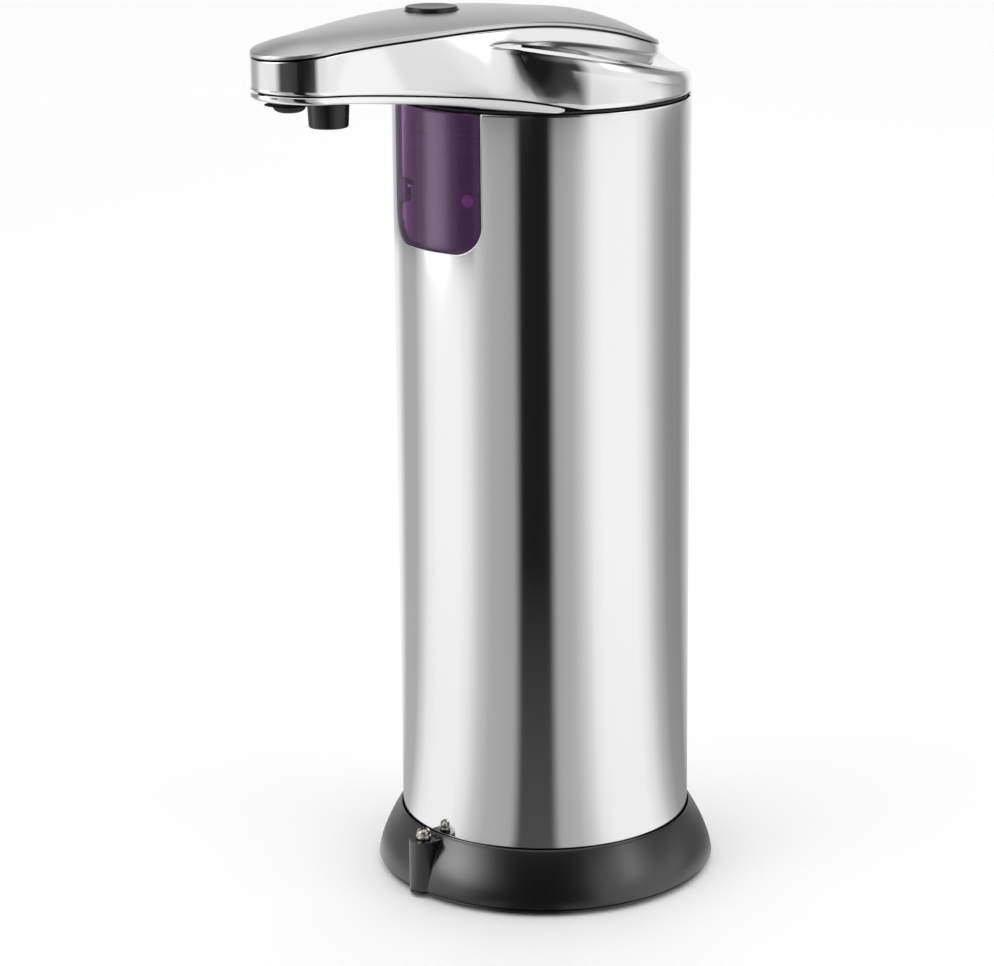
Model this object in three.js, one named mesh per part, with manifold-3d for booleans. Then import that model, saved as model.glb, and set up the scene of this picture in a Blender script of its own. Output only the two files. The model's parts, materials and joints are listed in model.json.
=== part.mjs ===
// Automatic soap dispenser: steel sleeve, lift-off chromed head, see-through tank, battery base.
// Millimetres, +Z up, origin on the tube axis at the table, spout towards -Y.

import * as THREE from 'three';
import { mergeVertices } from 'three/addons/utils/BufferGeometryUtils.js';
import Module from 'manifold-3d';

const wasm = await Module();
wasm.setup();

// Clearances
const seatGap = 0.3;
const runGap = 0.2;
const seamGap = 0.25;
const pinGap = 0.1;
const overrun = 2;

// Round facets
const roundSides = 40;
const hiddenSides = 24;
const smallSides = 10;
const tubeSides = 8;
const wireSides = 6;
const cornerSteps = 6;
const flareSteps = 4;
const springTurns = 2;
const springSteps = 6;

// Sleeve and its window
const sleeveRadius = 33;
const sleeveWall = 0.6;
const seamHeight = 178.4;
const windowWidth = 28.5;
const windowDrop = 31;
const windowCorner = 6.5;

// Soap tank
const tankWall = 1.4;
const tankFloorRise = 3.9;
const tankFloorThickness = 2;
const studDrop = 19.2;
const studSpread = 20;
const studRadius = 1.5;
const studSealRadius = 2.9;
const studSealThickness = 0.7;
const studDepth = 1.3;
const studProud = 0.4;
const studPocketDepth = 1.5;

// Base ring and its post
const baseFlare = 5.1;
const baseLipHeight = 13.5;
const baseLipWall = 0.35;
const baseBulgeHeight = 4.9;
const baseBulgeInset = 1.15;
const baseFootRound = 0.35;
const baseShelfHeight = 9;
const baseBoreInset = 1.4;
const postRadius = 3.3;
const postProud = 1.15;
const postDrop = 0.65;
const gasketThickness = 0.7;
const gasketHeight = 1.5;
const gasketRise = 0.6;

// Lock screw
const screwHeadRadius = 1.75;
const screwHeadHeight = 2.1;
const screwShankRadius = 1.1;
const screwSlotWidth = 0.6;
const screwSlotDepth = 0.8;

// Battery cover and foot
const coverRimInset = 0.5;
const coverRimHeight = 0.7;
const coverLift = 0.2;
const coverDeckThickness = 3.5;
const upstandWall = 3;
const upstandHeight = 5;
const coverSealRadius = 0.7;
const sealProud = 0.2;
const coverSealHeight = 5.4;
const footPadInset = 3.6;
const footPadThickness = 1.3;

// Batteries and contacts
const cellRadius = 5.25;
const cellLength = 44.5;
const cellNubRadius = 1.9;
const cellNubHeight = 0.8;
const cellEdge = 0.5;
const cellRing = 14;
const cellFootHeight = 10.4;
const contactThickness = 0.4;
const contactPadRadius = 3.2;
const springWireRadius = 0.35;
const springTopRadius = 2;
const springFootRadius = 3.6;
const carrierDeck = 6;
const carrierRecess = 1.2;
const railWidth = 4;
const railThickness = 0.3;
const railGrooveDepth = 0.6;
const railSpread = 12;

// Head outline and heights above the seam
const reach = 76.5;
const tipRadius = 10.8;
const wallTangent = 13.7;
const joinTangent = 20;
const joinAngle = 64.8;
const scoopWidth = 14;
const leafWidestPlace = -14;
const leafRearInset = 2.5;
const leafTipTangent = 13.8;
const leafSideTangent = 28;
const leafRearTangent = 31;
const leafEndTangent = 12;
const seamPeak = 17.6;
const rimFront = 14.3;
const shellFoot = 0.6;
const tipFootRise = 6.7;
const shellWall = 1.6;
const rimRound = 0.8;
const footRound = 0.8;
const scoopJoinAngle = 50;

// Top plate
const plateEdge = 0.7;
const plateRound = 0.4;
const plateRise = 2;
const plateRearRise = 3.4;
const plateWall = 1.2;
const plateLip = 1.2;
const plateInset = 0.1;

// Power button
const buttonSetback = 13;
const buttonRadius = 5.6;
const buttonProud = 0.9;
const buttonDish = 0.5;
const buttonFlange = 1.2;
const buttonFlangeThickness = 0.9;
const buttonStemRadius = 1.7;
const buttonStemLength = 1;
const buttonTravel = 0.8;

// Arm underside, nozzle and sensor
const lipWidth = 2.4;
const lipHeight = 1.7;
const panelThickness = 1.5;
const panelRecess = 0.2;
const nozzleInset = 7.3;
const nozzleRadius = 3.5;
const nozzleDrop = 3.5;
const nozzleCollarRadius = 5.2;
const nozzleCollarDrop = 1;
const nozzleDomeShares = [[0.5, 0], [0.78, 0.16], [0.94, 0.5], [1, 1]];
const nozzleBore = 0.6;
const nozzleBarbRadius = 0.9;
const nozzleBarbHeight = 0.9;
const sensorSpacing = 10.1;
const sensorRadius = 4.5;
const sensorTipRadius = 4.2;
const sensorDrop = 6;
const sensorTopRise = 1.1;
const sensorFlange = 0.8;
const sensorFloor = 1.2;
const ledRadius = 1.35;
const ledLength = 4.2;
const ledSpread = 3.4;

// Head chassis
const spigotWall = 2.4;
const spigotDepth = 10;
const spigotGap = 0.5;
const chassisLipThickness = 0.4;
const deckThickness = 1.9;
const sealRadius = 0.75;
const sealDepth = 6;
const standoffRadius = 1.8;
const collarWall = 1.2;
const collarRise = 2.1;
const collarRear = -17;
const headScrewInset = 7.1;
const headScrewAngle = 50;
const headPostRadius = 3;
const headScrewRadius = 1.25;
const headScrewHeadRadius = 2.2;
const headScrewHeadHeight = 1.3;
const headScrewLength = 4.2;

// Motor and gear pump
const driveHeight = 8.6;
const motorRadius = 6;
const motorFlat = 10;
const motorLength = 16;
const motorFace = 2.2;
const motorShaftRadius = 1;
const motorBossRadius = 2;
const motorBossLength = 0.8;
const gearTeeth = 10;
const gearModule = 0.6;
const gearWidth = 5.2;
const gearBacklash = 0.06;
const gearTipHalfAngle = 0.02;
const pumpWall = 1.2;
const pumpCoverThickness = 1.4;
const pumpBackWall = 2;
const pumpOutletOffset = 13;
const pumpOutletHeight = 7.4;
const pumpNippleLength = 2.6;
const portRadius = 0.9;

// Soap hoses
const hoseRadius = 1.9;
const hoseBore = 1.35;
const nippleRadius = 0.95;
const dipRadius = 2;
const dipBore = 1.2;
const dipFloorGap = 1.5;
const strainerRadius = 3.6;
const strainerHeight = 5;
const strainerSlotWidth = 0.8;

// Electronics
const boardThickness = 1.2;
const boardHalfWidth = 10.5;
const boardLength = 24;
const boardRearInset = 11.1;
const standoffSpread = 17;
const switchSize = 6;
const switchHeight = 3.1;
const switchStemRadius = 1.6;
const switchStemHeight = 0.7;
const chipLength = 8;
const chipWidth = 4;
const chipHeight = 1.4;
const capacitorRadius = 2.2;
const capacitorHeight = 4.4;
const leadRadius = 0.6;
const contactPinRadius = 0.4;
const contactPinLength = 2.5;

// Heights worked out from the sizes above
const sleeveTop = seamHeight - seatGap;
const tankOuter = sleeveRadius - sleeveWall - seatGap;
const tankInner = tankOuter - tankWall;
const carrierRadius = tankOuter;
const studHeight = seamHeight - studDrop;
const carrierFoot = baseShelfHeight + seatGap;
const cellTopHeight = cellFootHeight + cellLength;
const carrierTop = cellTopHeight + carrierRecess + carrierDeck;
const tankFloorHeight = carrierTop + tankFloorRise;
const tankTop = sleeveTop - seatGap;
const baseFoot = coverLift + coverRimHeight + seamGap;
const lipRadius = sleeveRadius + seatGap + baseLipWall;
const baseRadius = lipRadius + baseFlare;
const baseBoreRadius = sleeveRadius - baseBoreInset;
const postPlace = -(baseRadius + postProud - postRadius);
const postTopHeight = baseLipHeight - postDrop;
const coverRimRadius = baseRadius - coverRimInset;
const footPadRadius = baseBoreRadius - footPadInset;
const leafRear = sleeveRadius - leafRearInset;
const leafHalfWidth = sleeveRadius - scoopWidth;
const deckTop = chassisLipThickness + deckThickness;
const deckRadius = sleeveRadius - shellWall - seatGap;
const headScrewRing = deckRadius - headScrewInset;
const boardRear = boardRearInset - deckRadius;
const boardFront = boardRear - boardLength;
const buttonPlace = boardFront + buttonSetback;
const nozzlePlace = nozzleInset - reach;
const sensorPlace = nozzlePlace + sensorSpacing;
const motorRear = motorFace - motorLength;
const pumpCoverFront = motorFace + seatGap;
const pumpFront = pumpCoverFront + pumpCoverThickness + pinGap;
const gearPitch = gearModule * gearTeeth / 2;
const gearTip = gearPitch + gearModule * 0.8;
const gearCentres = gearPitch * 2 + gearBacklash;
const gearStart = pumpFront + runGap;
const pumpRear = gearStart + gearWidth + runGap + pumpBackWall;
const pumpCavity = gearTip + pinGap;
const meshPlace = -gearCentres / 2;
const pumpBottom = driveHeight - pumpCavity - pumpWall;
const pumpTop = driveHeight + pumpCavity + pumpWall;
const inletPlace = gearStart + gearWidth / 2;
const dipTop = pumpBottom + pumpWall / 2;

// Shares of the sizes that they follow: [place along the reach, height]
const seamShares = [[-1, 0.795], [-0.758, 0.903], [-0.549, 0.972], [-0.418, 1], [-0.261, 0.994],
  [-0.111, 0.9375], [0.078, 0.79], [0.23, 0.619], [0.399, 0.432]];
const footShares = [[-0.335, 1], [-0.179, 0.951], [0, 0.804], [0.222, 0.573], [0.399, 0.455]];
const rimShares = [[-0.776, 1], [-0.44, 0.853], [-0.07, 0.664], [0.42, 0.434], [1, 0.28]];
const undersideShares = [[-1, 1], [-0.797, 0.88], [-0.549, 0.657], [-0.353, 0.403], [-0.184, 0]];
const lipShares = [[-1, 0.85], [-0.549, 1], [-0.353, 1.2], [-0.184, 0.5]];
const riseShares = [[-1, 0], [-0.418, 0], [-0.078, 0.25], [0.12, 1], [0.399, 1]];
const flankShares = { rimLow: 0.7, rim: 0.76, foot: 0.8, footHigh: 0.87 };
const scoopStartShare = 0.79;
const leafScoopShare = 0.84;
const plateUnderShares = [0.85, 0.45];
const plateOverShares = [0.07, 0.25, 0.5, 0.85];

// Steps along the half outline: nose, flank, disc, and those that lie ahead of the scoop floor
const dropStations = 2;
const noseSteps = 5;
const flankSteps = 7;
const discSteps = 15;

// Materials
const finish = (color, roughness, metalness) => ({ color, roughness, metalness });
const polishedSteel = finish('#c9cbcc', 0.16, 1);
const chromedPlastic = finish('#d6d8da', 0.08, 1);
const satinSteel = finish('#b4b5b6', 0.35, 1);
const purpleClear = finish('#5b3a66', 0.08, 0);
const blackPlastic = finish('#17181a', 0.42, 0);
const blackRubber = finish('#0c0c0d', 0.7, 0);
const whiteNylon = finish('#e6e5df', 0.5, 0);
const clearSilicone = finish('#cfd4d6', 0.4, 0);
const nickelSpring = finish('#b9b5ac', 0.3, 1);
const brassPin = finish('#b58b45', 0.3, 1);
const boardGreen = finish('#1f5b39', 0.55, 0);
const cellGrey = finish('#3c4046', 0.35, 0.3);
const redWire = finish('#8c1f1b', 0.5, 0);

const radians = THREE.MathUtils.degToRad;

// Solids: closed meshes that can be cut and joined
function closedMesh(geometry) {
  const bare = geometry.clone();
  bare.deleteAttribute('normal');
  bare.deleteAttribute('uv');
  const merged = mergeVertices(bare);
  const corners = merged.index.array;
  const kept = [];
  for (let i = 0; i < corners.length; i += 3) {
    const [a, b, c] = [corners[i], corners[i + 1], corners[i + 2]];
    if (a !== b && b !== c && c !== a) kept.push(a, b, c);
  }
  merged.setIndex(kept);
  return merged;
}

function solid(geometry) {
  const mesh = closedMesh(geometry);
  const vertProperties = new Float32Array(mesh.attributes.position.array);
  const triVerts = new Uint32Array(mesh.index.array);
  return new wasm.Manifold(new wasm.Mesh({ numProp: 3, vertProperties, triVerts }));
}

function geometryOf(body) {
  const mesh = body.getMesh();
  const geometry = new THREE.BufferGeometry();
  geometry.setAttribute('position', new THREE.BufferAttribute(new Float32Array(mesh.vertProperties), 3));
  geometry.setIndex(Array.from(mesh.triVerts));
  return geometry;
}

const join = (first, ...others) => others.reduce((sum, other) => sum.add(other), first);
const cut = (first, ...others) => others.reduce((rest, other) => rest.subtract(other), first);

// Named mesh with its own material and smooth or flat shading left to the renderer
function piece(name, shape, look, place = [0, 0, 0]) {
  const geometry = shape.isBufferGeometry ? closedMesh(shape) : geometryOf(shape);
  geometry.computeVertexNormals();
  const mesh = new THREE.Mesh(geometry, new THREE.MeshStandardMaterial(look));
  mesh.name = name;
  mesh.position.set(...place);
  return mesh;
}

// Revolved profile of [radius, height] points, counterclockwise, about the Z axis
function revolve(profile, sides = hiddenSides) {
  const points = profile.map(([radius, height]) => new THREE.Vector2(radius, height));
  const onAxis = points[0].x === 0 && points.at(-1).x === 0;
  if (!onAxis) points.push(points[0].clone());
  return new THREE.LatheGeometry(points, sides).rotateX(Math.PI / 2);
}

function disc(radius, low, high, sides = hiddenSides) {
  return revolve([[0, low], [radius, low], [radius, high], [0, high]], sides);
}

function post(radius, low, high, [x, y], sides = smallSides) {
  return solid(disc(radius, low, high, sides).translate(x, y, 0));
}

function tube(inner, outer, low, high, sides = hiddenSides) {
  return revolve([[inner, low], [outer, low], [outer, high], [inner, high]], sides);
}

function roundRing(ringRadius, sectionRadius, height, sides = hiddenSides) {
  return new THREE.TorusGeometry(ringRadius, sectionRadius, wireSides, sides).translate(0, 0, height);
}

function block(width, depth, height, x, y, foot) {
  return new THREE.BoxGeometry(width, depth, height).translate(x, y, foot + height / 2);
}

// Cylinder lying along Y from one place to another
function barrel(radius, from, to, x, height, sides = smallSides) {
  const length = to - from;
  return new THREE.CylinderGeometry(radius, radius, length, sides).translate(x, from + length / 2, height);
}

// Tube or wire along a curve
function straight(shape, depth, curveSegments) {
  return new THREE.ExtrudeGeometry(shape, { depth, bevelEnabled: false, curveSegments });
}

function alongCurve(curve, outer, bore, sides, steps) {
  const section = new THREE.Shape().absarc(0, 0, outer, 0, Math.PI * 2);
  if (bore > 0) section.holes.push(new THREE.Path().absarc(0, 0, bore, 0, Math.PI * 2));
  return new THREE.ExtrudeGeometry(section, { extrudePath: curve, steps, curveSegments: sides / 2 });
}

function softCurve(places) {
  return new THREE.CatmullRomCurve3(places.map((place) => new THREE.Vector3(...place)), false, 'centripetal');
}

// Smooth line through [place, height] points, read at any place
function heightLine(points) {
  const slope = (i) => {
    const [before, after] = [points[Math.max(i - 1, 0)], points[Math.min(i + 1, points.length - 1)]];
    return (after[1] - before[1]) / (after[0] - before[0]);
  };
  return (place) => {
    if (place <= points[0][0]) return points[0][1];
    if (place >= points.at(-1)[0]) return points.at(-1)[1];
    const i = points.findIndex((point) => point[0] > place) - 1;
    const span = points[i + 1][0] - points[i][0];
    const t = (place - points[i][0]) / span;
    const [near, far] = [points[i][1], points[i + 1][1]];
    const bend = t * (1 - t) * span * ((1 - t) * slope(i) - t * slope(i + 1));
    return near + (far - near) * t * t * (3 - 2 * t) + bend;
  };
}

const scaled = (shares, length, height) => shares.map(([x, z]) => [x * length, z * height]);
const seamLine = heightLine(scaled(seamShares, reach, seamPeak));
const footLine = heightLine(scaled(footShares, reach, rimFront));
const rimLine = heightLine(scaled(rimShares, sleeveRadius, rimFront));
const undersideRise = heightLine(scaled(undersideShares, reach, tipFootRise));
const lipLine = heightLine(scaled(lipShares, reach, lipHeight));
const rearRise = heightLine(scaled(riseShares, reach, plateRearRise - plateRise));
const underside = (y) => shellFoot + undersideRise(y);

// Half outlines of the head, from the tip to the rear on the +X side
const arc = (x, y, radius, from, to) =>
  new THREE.EllipseCurve(x, y, radius, radius, radians(from - 90), radians(to - 90));
const noseArc = arc(0, tipRadius - reach, tipRadius, 0, 90);

function bezier(start, startControl, endControl, end) {
  const corners = [start, startControl, endControl, end].map(([x, y]) => new THREE.Vector2(x, y));
  return new THREE.CubicBezierCurve(...corners);
}

function splitBezier(curve, share) {
  const mix = (a, b) => a.clone().lerp(b, share);
  const [ab, bc, cd] = [mix(curve.v0, curve.v1), mix(curve.v1, curve.v2), mix(curve.v2, curve.v3)];
  const [abc, bcd] = [mix(ab, bc), mix(bc, cd)];
  const middle = mix(abc, bcd);
  const near = new THREE.CubicBezierCurve(curve.v0, ab, abc, middle);
  const far = new THREE.CubicBezierCurve(middle, bcd, cd, curve.v3);
  return [near, far];
}

function spaced(curves, steps) {
  const path = new THREE.CurvePath();
  curves.forEach((curve) => path.add(curve));
  return path.getSpacedPoints(steps);
}

const onCircle = (radius, angle) => [radius * Math.sin(radians(angle)), -radius * Math.cos(radians(angle))];

function wallFlank() {
  const [x, y] = onCircle(sleeveRadius, joinAngle);
  const [dx, dy] = [Math.cos(radians(joinAngle)), Math.sin(radians(joinAngle))];
  const controls = [[tipRadius + rimRound, tipRadius - reach + wallTangent],
    [x - dx * joinTangent, y - dy * joinTangent]];
  return splitBezier(bezier([tipRadius, tipRadius - reach], ...controls, [x, y]), scoopStartShare);
}

function leafFlank() {
  const controls = [[tipRadius + rimRound * 2, tipRadius - reach + leafTipTangent],
    [leafHalfWidth, leafWidestPlace - leafSideTangent]];
  const whole = bezier([tipRadius, tipRadius - reach], ...controls, [leafHalfWidth, leafWidestPlace]);
  return splitBezier(whole, leafScoopShare);
}

function leafTail() {
  return bezier([leafHalfWidth, leafWidestPlace], [leafHalfWidth, leafWidestPlace + leafRearTangent],
    [leafEndTangent, leafRear], [0, leafRear]);
}

const nose = noseArc.getPoints(noseSteps);
const [wallArm, wallJoin] = wallFlank();
const [leafArm, leafSide] = leafFlank();
const wallDisc = spaced([wallJoin, arc(0, 0, sleeveRadius, joinAngle, 180)], discSteps);
const leafDisc = spaced([leafSide, leafTail()], discSteps);
const wallArmPoints = wallArm.getPoints(flankSteps);
const leafArmPoints = leafArm.getPoints(flankSteps);
const armCount = noseSteps + flankSteps;

const halfOf = (...stretches) => stretches.flatMap((points, i) => (i === 0 ? points : points.slice(1)));
const wallHalf = halfOf(nose, wallArmPoints, wallDisc);
const leafHalf = halfOf(nose, leafArmPoints, leafDisc);

// Moves a half outline inwards, square to itself
function inset(half, distance) {
  const mirror = (point) => new THREE.Vector2(-point.x, point.y);
  return half.map((point, i) => {
    const before = half[i - 1] ?? mirror(half[1]);
    const after = half[i + 1] ?? mirror(half[i - 1]);
    const along = after.clone().sub(before).normalize();
    return new THREE.Vector2(Math.max(point.x - along.y * distance, 0), point.y + along.x * distance);
  });
}

const raise = (half, height) => half.map((point) => new THREE.Vector3(point.x, point.y, height(point.y)));

// Skins half rings, lowest first, and their mirror images into one closed body
function skin(halves) {
  const last = halves[0].length - 1;
  const count = last * 2;
  const positions = halves.flatMap((half) => {
    const left = half.slice(1, last).reverse().map((p) => new THREE.Vector3(-p.x, p.y, p.z));
    return [...half, ...left].flatMap((p) => [p.x, p.y, p.z]);
  });
  const faces = [];
  const at = (ring, i) => ring * count + (i % count);
  for (let ring = 0; ring + 1 < halves.length; ring += 1) {
    for (let i = 0; i < count; i += 1) {
      faces.push(at(ring, i), at(ring, i + 1), at(ring + 1, i + 1));
      faces.push(at(ring, i), at(ring + 1, i + 1), at(ring + 1, i));
    }
  }
  const top = halves.length - 1;
  for (let i = 0; i < last; i += 1) {
    const [far, farNext] = [count - i, count - i - 1];
    faces.push(at(top, i), at(top, i + 1), at(top, farNext), at(top, i), at(top, farNext), at(top, far));
    faces.push(at(0, i), at(0, farNext), at(0, i + 1), at(0, i), at(0, far), at(0, farNext));
  }
  const geometry = new THREE.BufferGeometry();
  geometry.setAttribute('position', new THREE.Float32BufferAttribute(positions, 3));
  geometry.setIndex(faces);
  return geometry;
}

// The crescent scoop: rings between the wall foot and the leaf seam
const scoopStart = wallArmPoints.at(-1).clone().lerp(leafArmPoints.at(-1), flankShares.rim);

function rimDisc(radius, drawnIn = 0) {
  const [x, y] = onCircle(radius, scoopJoinAngle);
  const start = new THREE.Vector2(scoopStart.x - drawnIn, scoopStart.y);
  const middle = new THREE.Vector2((start.x + x) / 2, start.y);
  const turn = new THREE.QuadraticBezierCurve(start, middle, new THREE.Vector2(x, y));
  return spaced([turn, arc(0, 0, radius, scoopJoinAngle, 180)], discSteps);
}

function armRing(share) {
  return wallHalf.slice(0, armCount + 1).map((wall, i) => {
    const low = new THREE.Vector3(wall.x, wall.y, underside(wall.y));
    const leaf = leafHalf[i];
    return low.lerp(new THREE.Vector3(leaf.x, leaf.y, seamLine(leaf.y)), share);
  });
}

// Draws an arm ring in by the wall, and drops it ahead of the scoop floor
function drawIn(arm, next, depth, height) {
  const drawn = inset([...arm, next].map((point) => new THREE.Vector2(point.x, point.y)), depth);
  arm.forEach((point, i) => point.set(drawn[i].x, drawn[i].y, point.z));
  arm[0].set(0, depth - reach, arm[0].z);
  arm.slice(-dropStations).forEach((point) => point.setZ(Math.min(point.z, height(point.y))));
}

function scoopRing(share, outline, height, depth = 0) {
  const arm = armRing(share);
  if (depth > 0) drawIn(arm, outline[1], depth, height);
  const disc = outline.slice(1).map((point) => new THREE.Vector3(point.x, point.y, height(point.y)));
  return [...arm, ...disc];
}

function headOuter() {
  const leafOut = inset(leafHalf, -footRound).slice(armCount);
  return solid(skin([
    raise(wallHalf, underside),
    scoopRing(flankShares.rimLow, rimDisc(sleeveRadius), (y) => rimLine(y) - rimRound),
    scoopRing(flankShares.rim, rimDisc(sleeveRadius - rimRound), rimLine),
    scoopRing(flankShares.foot, leafOut, footLine),
    scoopRing(flankShares.footHigh, leafHalf.slice(armCount), (y) => footLine(y) + footRound),
    raise(leafHalf, seamLine),
  ]));
}

function headHollow(clear = 0) {
  const wall = shellWall + clear;
  const leafIn = inset(leafHalf, wall);
  return solid(skin([
    raise(inset(wallHalf, wall), (y) => underside(y) - overrun * 2),
    scoopRing(flankShares.rim, rimDisc(sleeveRadius - wall, wall), (y) => rimLine(y) - wall, wall),
    scoopRing(flankShares.foot, leafIn.slice(armCount), (y) => footLine(y) - wall, wall),
    raise(leafIn, (y) => seamLine(y) + overrun),
  ]));
}

const headScrewPlaces = [headScrewAngle, 180 - headScrewAngle, 180 + headScrewAngle, -headScrewAngle]
  .map((angle) => onCircle(headScrewRing, angle));

function headShell() {
  const posts = headScrewPlaces.map((place) =>
    post(headPostRadius, deckTop + seatGap, footLine(place[1]) - shellWall, place));
  const bores = headScrewPlaces.map((place) =>
    post(headScrewRadius + pinGap, 0, deckTop + headScrewLength, place));
  return cut(join(cut(headOuter(), headHollow()), ...posts), ...bores);
}

// Top plate: a domed leaf that closes the head, with a locating lip below
function plateRing(share, lift) {
  const edge = inset(leafHalf, plateInset);
  const [front, rear] = [tipRadius - reach, leafRear - leafHalfWidth];
  return edge.map((point) => {
    const spine = new THREE.Vector2(0, THREE.MathUtils.clamp(point.y, front, rear));
    const place = point.clone().lerp(spine, share);
    const rise = (plateRise + rearRise(spine.y)) * (1 - (1 - share) ** 2);
    const base = THREE.MathUtils.lerp(seamLine(point.y), seamLine(spine.y), share);
    return new THREE.Vector3(place.x, place.y, base + lift + rise);
  });
}

function topPlate() {
  const foot = (distance, lift) => raise(inset(leafHalf, distance), (y) => seamLine(y) + lift);
  const lipOut = shellWall + seamGap;
  const under = plateUnderShares.map((share) => plateRing(share, plateEdge - plateWall));
  const over = plateOverShares.map((share) => plateRing(share, plateEdge + plateRound));
  const lipRings = [foot(lipOut + plateWall, seamGap), foot(lipOut + plateWall, -plateLip),
    foot(lipOut, -plateLip), foot(lipOut, seamGap)];
  const rim = [foot(plateInset, seamGap), foot(plateInset, plateEdge)];
  const body = solid(skin([...under, ...lipRings, ...rim, ...over]));
  const bore = disc(buttonRadius + runGap, 0, seamPeak * 2, hiddenSides).translate(0, buttonPlace, 0);
  return cut(body, solid(bore));
}

const plateTopAt = (y) => seamLine(y) + plateEdge + plateRound + plateRise + rearRise(y);
const buttonTop = plateTopAt(buttonPlace) + buttonProud;
const flangeRadius = buttonRadius + buttonFlange;
const plateUnder = seamLine(buttonPlace) + plateEdge - plateWall
  + (plateRise + rearRise(buttonPlace)) * (1 - (flangeRadius / leafHalfWidth) ** 2);

const flangeTop = plateUnder - seatGap;
const flangeFoot = flangeTop - buttonFlangeThickness;
const stemFoot = flangeFoot - buttonStemLength;

function powerButton() {
  return revolve([
    [0, stemFoot], [buttonStemRadius, stemFoot], [buttonStemRadius, flangeFoot], [flangeRadius, flangeFoot],
    [flangeRadius, flangeTop], [buttonRadius, flangeTop],
    [buttonRadius, buttonTop - buttonDish], [buttonRadius - buttonDish, buttonTop],
    [buttonRadius * 0.7, buttonTop - buttonDish * 0.6], [0, buttonTop - buttonDish],
  ], smallSides * 2);
}

// The board stands as high as the pressed button allows
const switchTop = stemFoot - buttonTravel - pinGap;
const boardTop = switchTop - switchStemHeight - switchHeight - pinGap;
const boardHeight = boardTop - boardThickness;

// Arm underside: a chromed lip round a black panel
const lipTop = (y) => underside(y) - seamGap;
const lipFoot = (y) => lipTop(y) - lipLine(y);
const tubeClear = () => solid(disc(sleeveRadius + seatGap, -reach, reach, roundSides));

function armSlab(distance, foot, top) {
  const outline = inset(wallHalf, distance);
  return solid(skin([raise(outline, foot), raise(outline, top)]));
}

function armRim() {
  const slab = cut(armSlab(0, lipFoot, lipTop), tubeClear());
  const inner = cut(armSlab(lipWidth, (y) => lipFoot(y) - overrun, (y) => lipTop(y) + overrun),
    solid(disc(sleeveRadius + seatGap + lipWidth, -reach, reach, roundSides)));
  return cut(slab, inner);
}

const panelFoot = (y) => lipFoot(y) + panelRecess;
const panelTop = (y) => panelFoot(y) + panelThickness;
const boardPosts = [boardFront + standoffRadius * 2, boardRear - standoffRadius * 2];

function standoff(x, y, foot) {
  return post(standoffRadius, foot, boardHeight - seatGap, [x, y]);
}

function armPanel() {
  const slab = cut(armSlab(lipWidth + seatGap, panelFoot, panelTop),
    solid(disc(sleeveRadius + lipWidth + seatGap * 2, -reach, reach, roundSides)));
  const posts = [-1, 1].map((side) =>
    standoff(side * standoffSpread / 2, boardPosts[0], panelTop(boardPosts[0]) - panelThickness / 2));
  const nozzleHole = post(nozzleRadius + runGap, -reach, reach, [0, nozzlePlace]);
  const sensorHole = post(sensorRadius + runGap, -reach, reach, [0, sensorPlace], smallSides * 2);
  return cut(join(slab, ...posts), nozzleHole, sensorHole);
}

function nozzle() {
  const foot = lipFoot(nozzlePlace) - nozzleDrop + nozzleCollarDrop;
  const collarFoot = panelFoot(nozzlePlace) - nozzleCollarDrop;
  const collarTop = panelFoot(nozzlePlace + tipRadius) - seatGap;
  const top = panelTop(nozzlePlace) + seatGap;
  const dome = nozzleDomeShares.map(([across, up]) =>
    [nozzleRadius * across, THREE.MathUtils.lerp(foot, collarFoot, up)]);
  return revolve([
    [nozzleBore, foot], ...dome, [nozzleCollarRadius - rimRound, collarFoot],
    [nozzleCollarRadius, Math.min(collarFoot + rimRound, collarTop - seatGap)],
    [nozzleCollarRadius, collarTop],
    [nozzleRadius, collarTop], [nozzleRadius, top], [nozzleBarbRadius, top],
    [nozzleBarbRadius, top + nozzleBarbHeight], [nozzleBore, top + nozzleBarbHeight],
  ], smallSides * 2);
}

const sensorFoot = lipFoot(sensorPlace) - sensorDrop;
const sensorTop = panelTop(sensorPlace) + sensorTopRise;

function sensorHood() {
  const flangeFoot = panelTop(sensorPlace - sensorRadius) + seatGap;
  const cup = solid(revolve([
    [0, sensorFoot], [sensorTipRadius - sensorFlange / 2, sensorFoot],
    [sensorTipRadius, sensorFoot + sensorFlange / 2], [sensorRadius, panelFoot(sensorPlace)],
    [sensorRadius, flangeFoot], [sensorRadius + sensorFlange, flangeFoot],
    [sensorRadius + sensorFlange, sensorTop], [0, sensorTop],
  ], smallSides * 2));
  const wells = [-1, 1].map((side) =>
    post(ledRadius + pinGap * 2, sensorFoot + sensorFloor, sensorTop + overrun, [side * ledSpread / 2, 0]));
  return cut(cup, ...wells);
}

function diode() {
  const foot = sensorFoot + sensorFloor + runGap;
  return revolve([[0, foot], [ledRadius * 0.6, foot + ledRadius * 0.2], [ledRadius, foot + ledRadius * 0.8],
    [ledRadius, foot + ledLength], [0, foot + ledLength]], smallSides);
}

// Head chassis: spigot, visible lip, deck, standoffs and saddles
const spigotOuter = tankInner - spigotGap;
const railAngle = Math.asin(railSpread / 2 / tankOuter);
const pinRing = spigotOuter + contactPinRadius + runGap;
const pinPlace = (side) => [side * pinRing * Math.sin(railAngle), pinRing * Math.cos(railAngle)];

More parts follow.
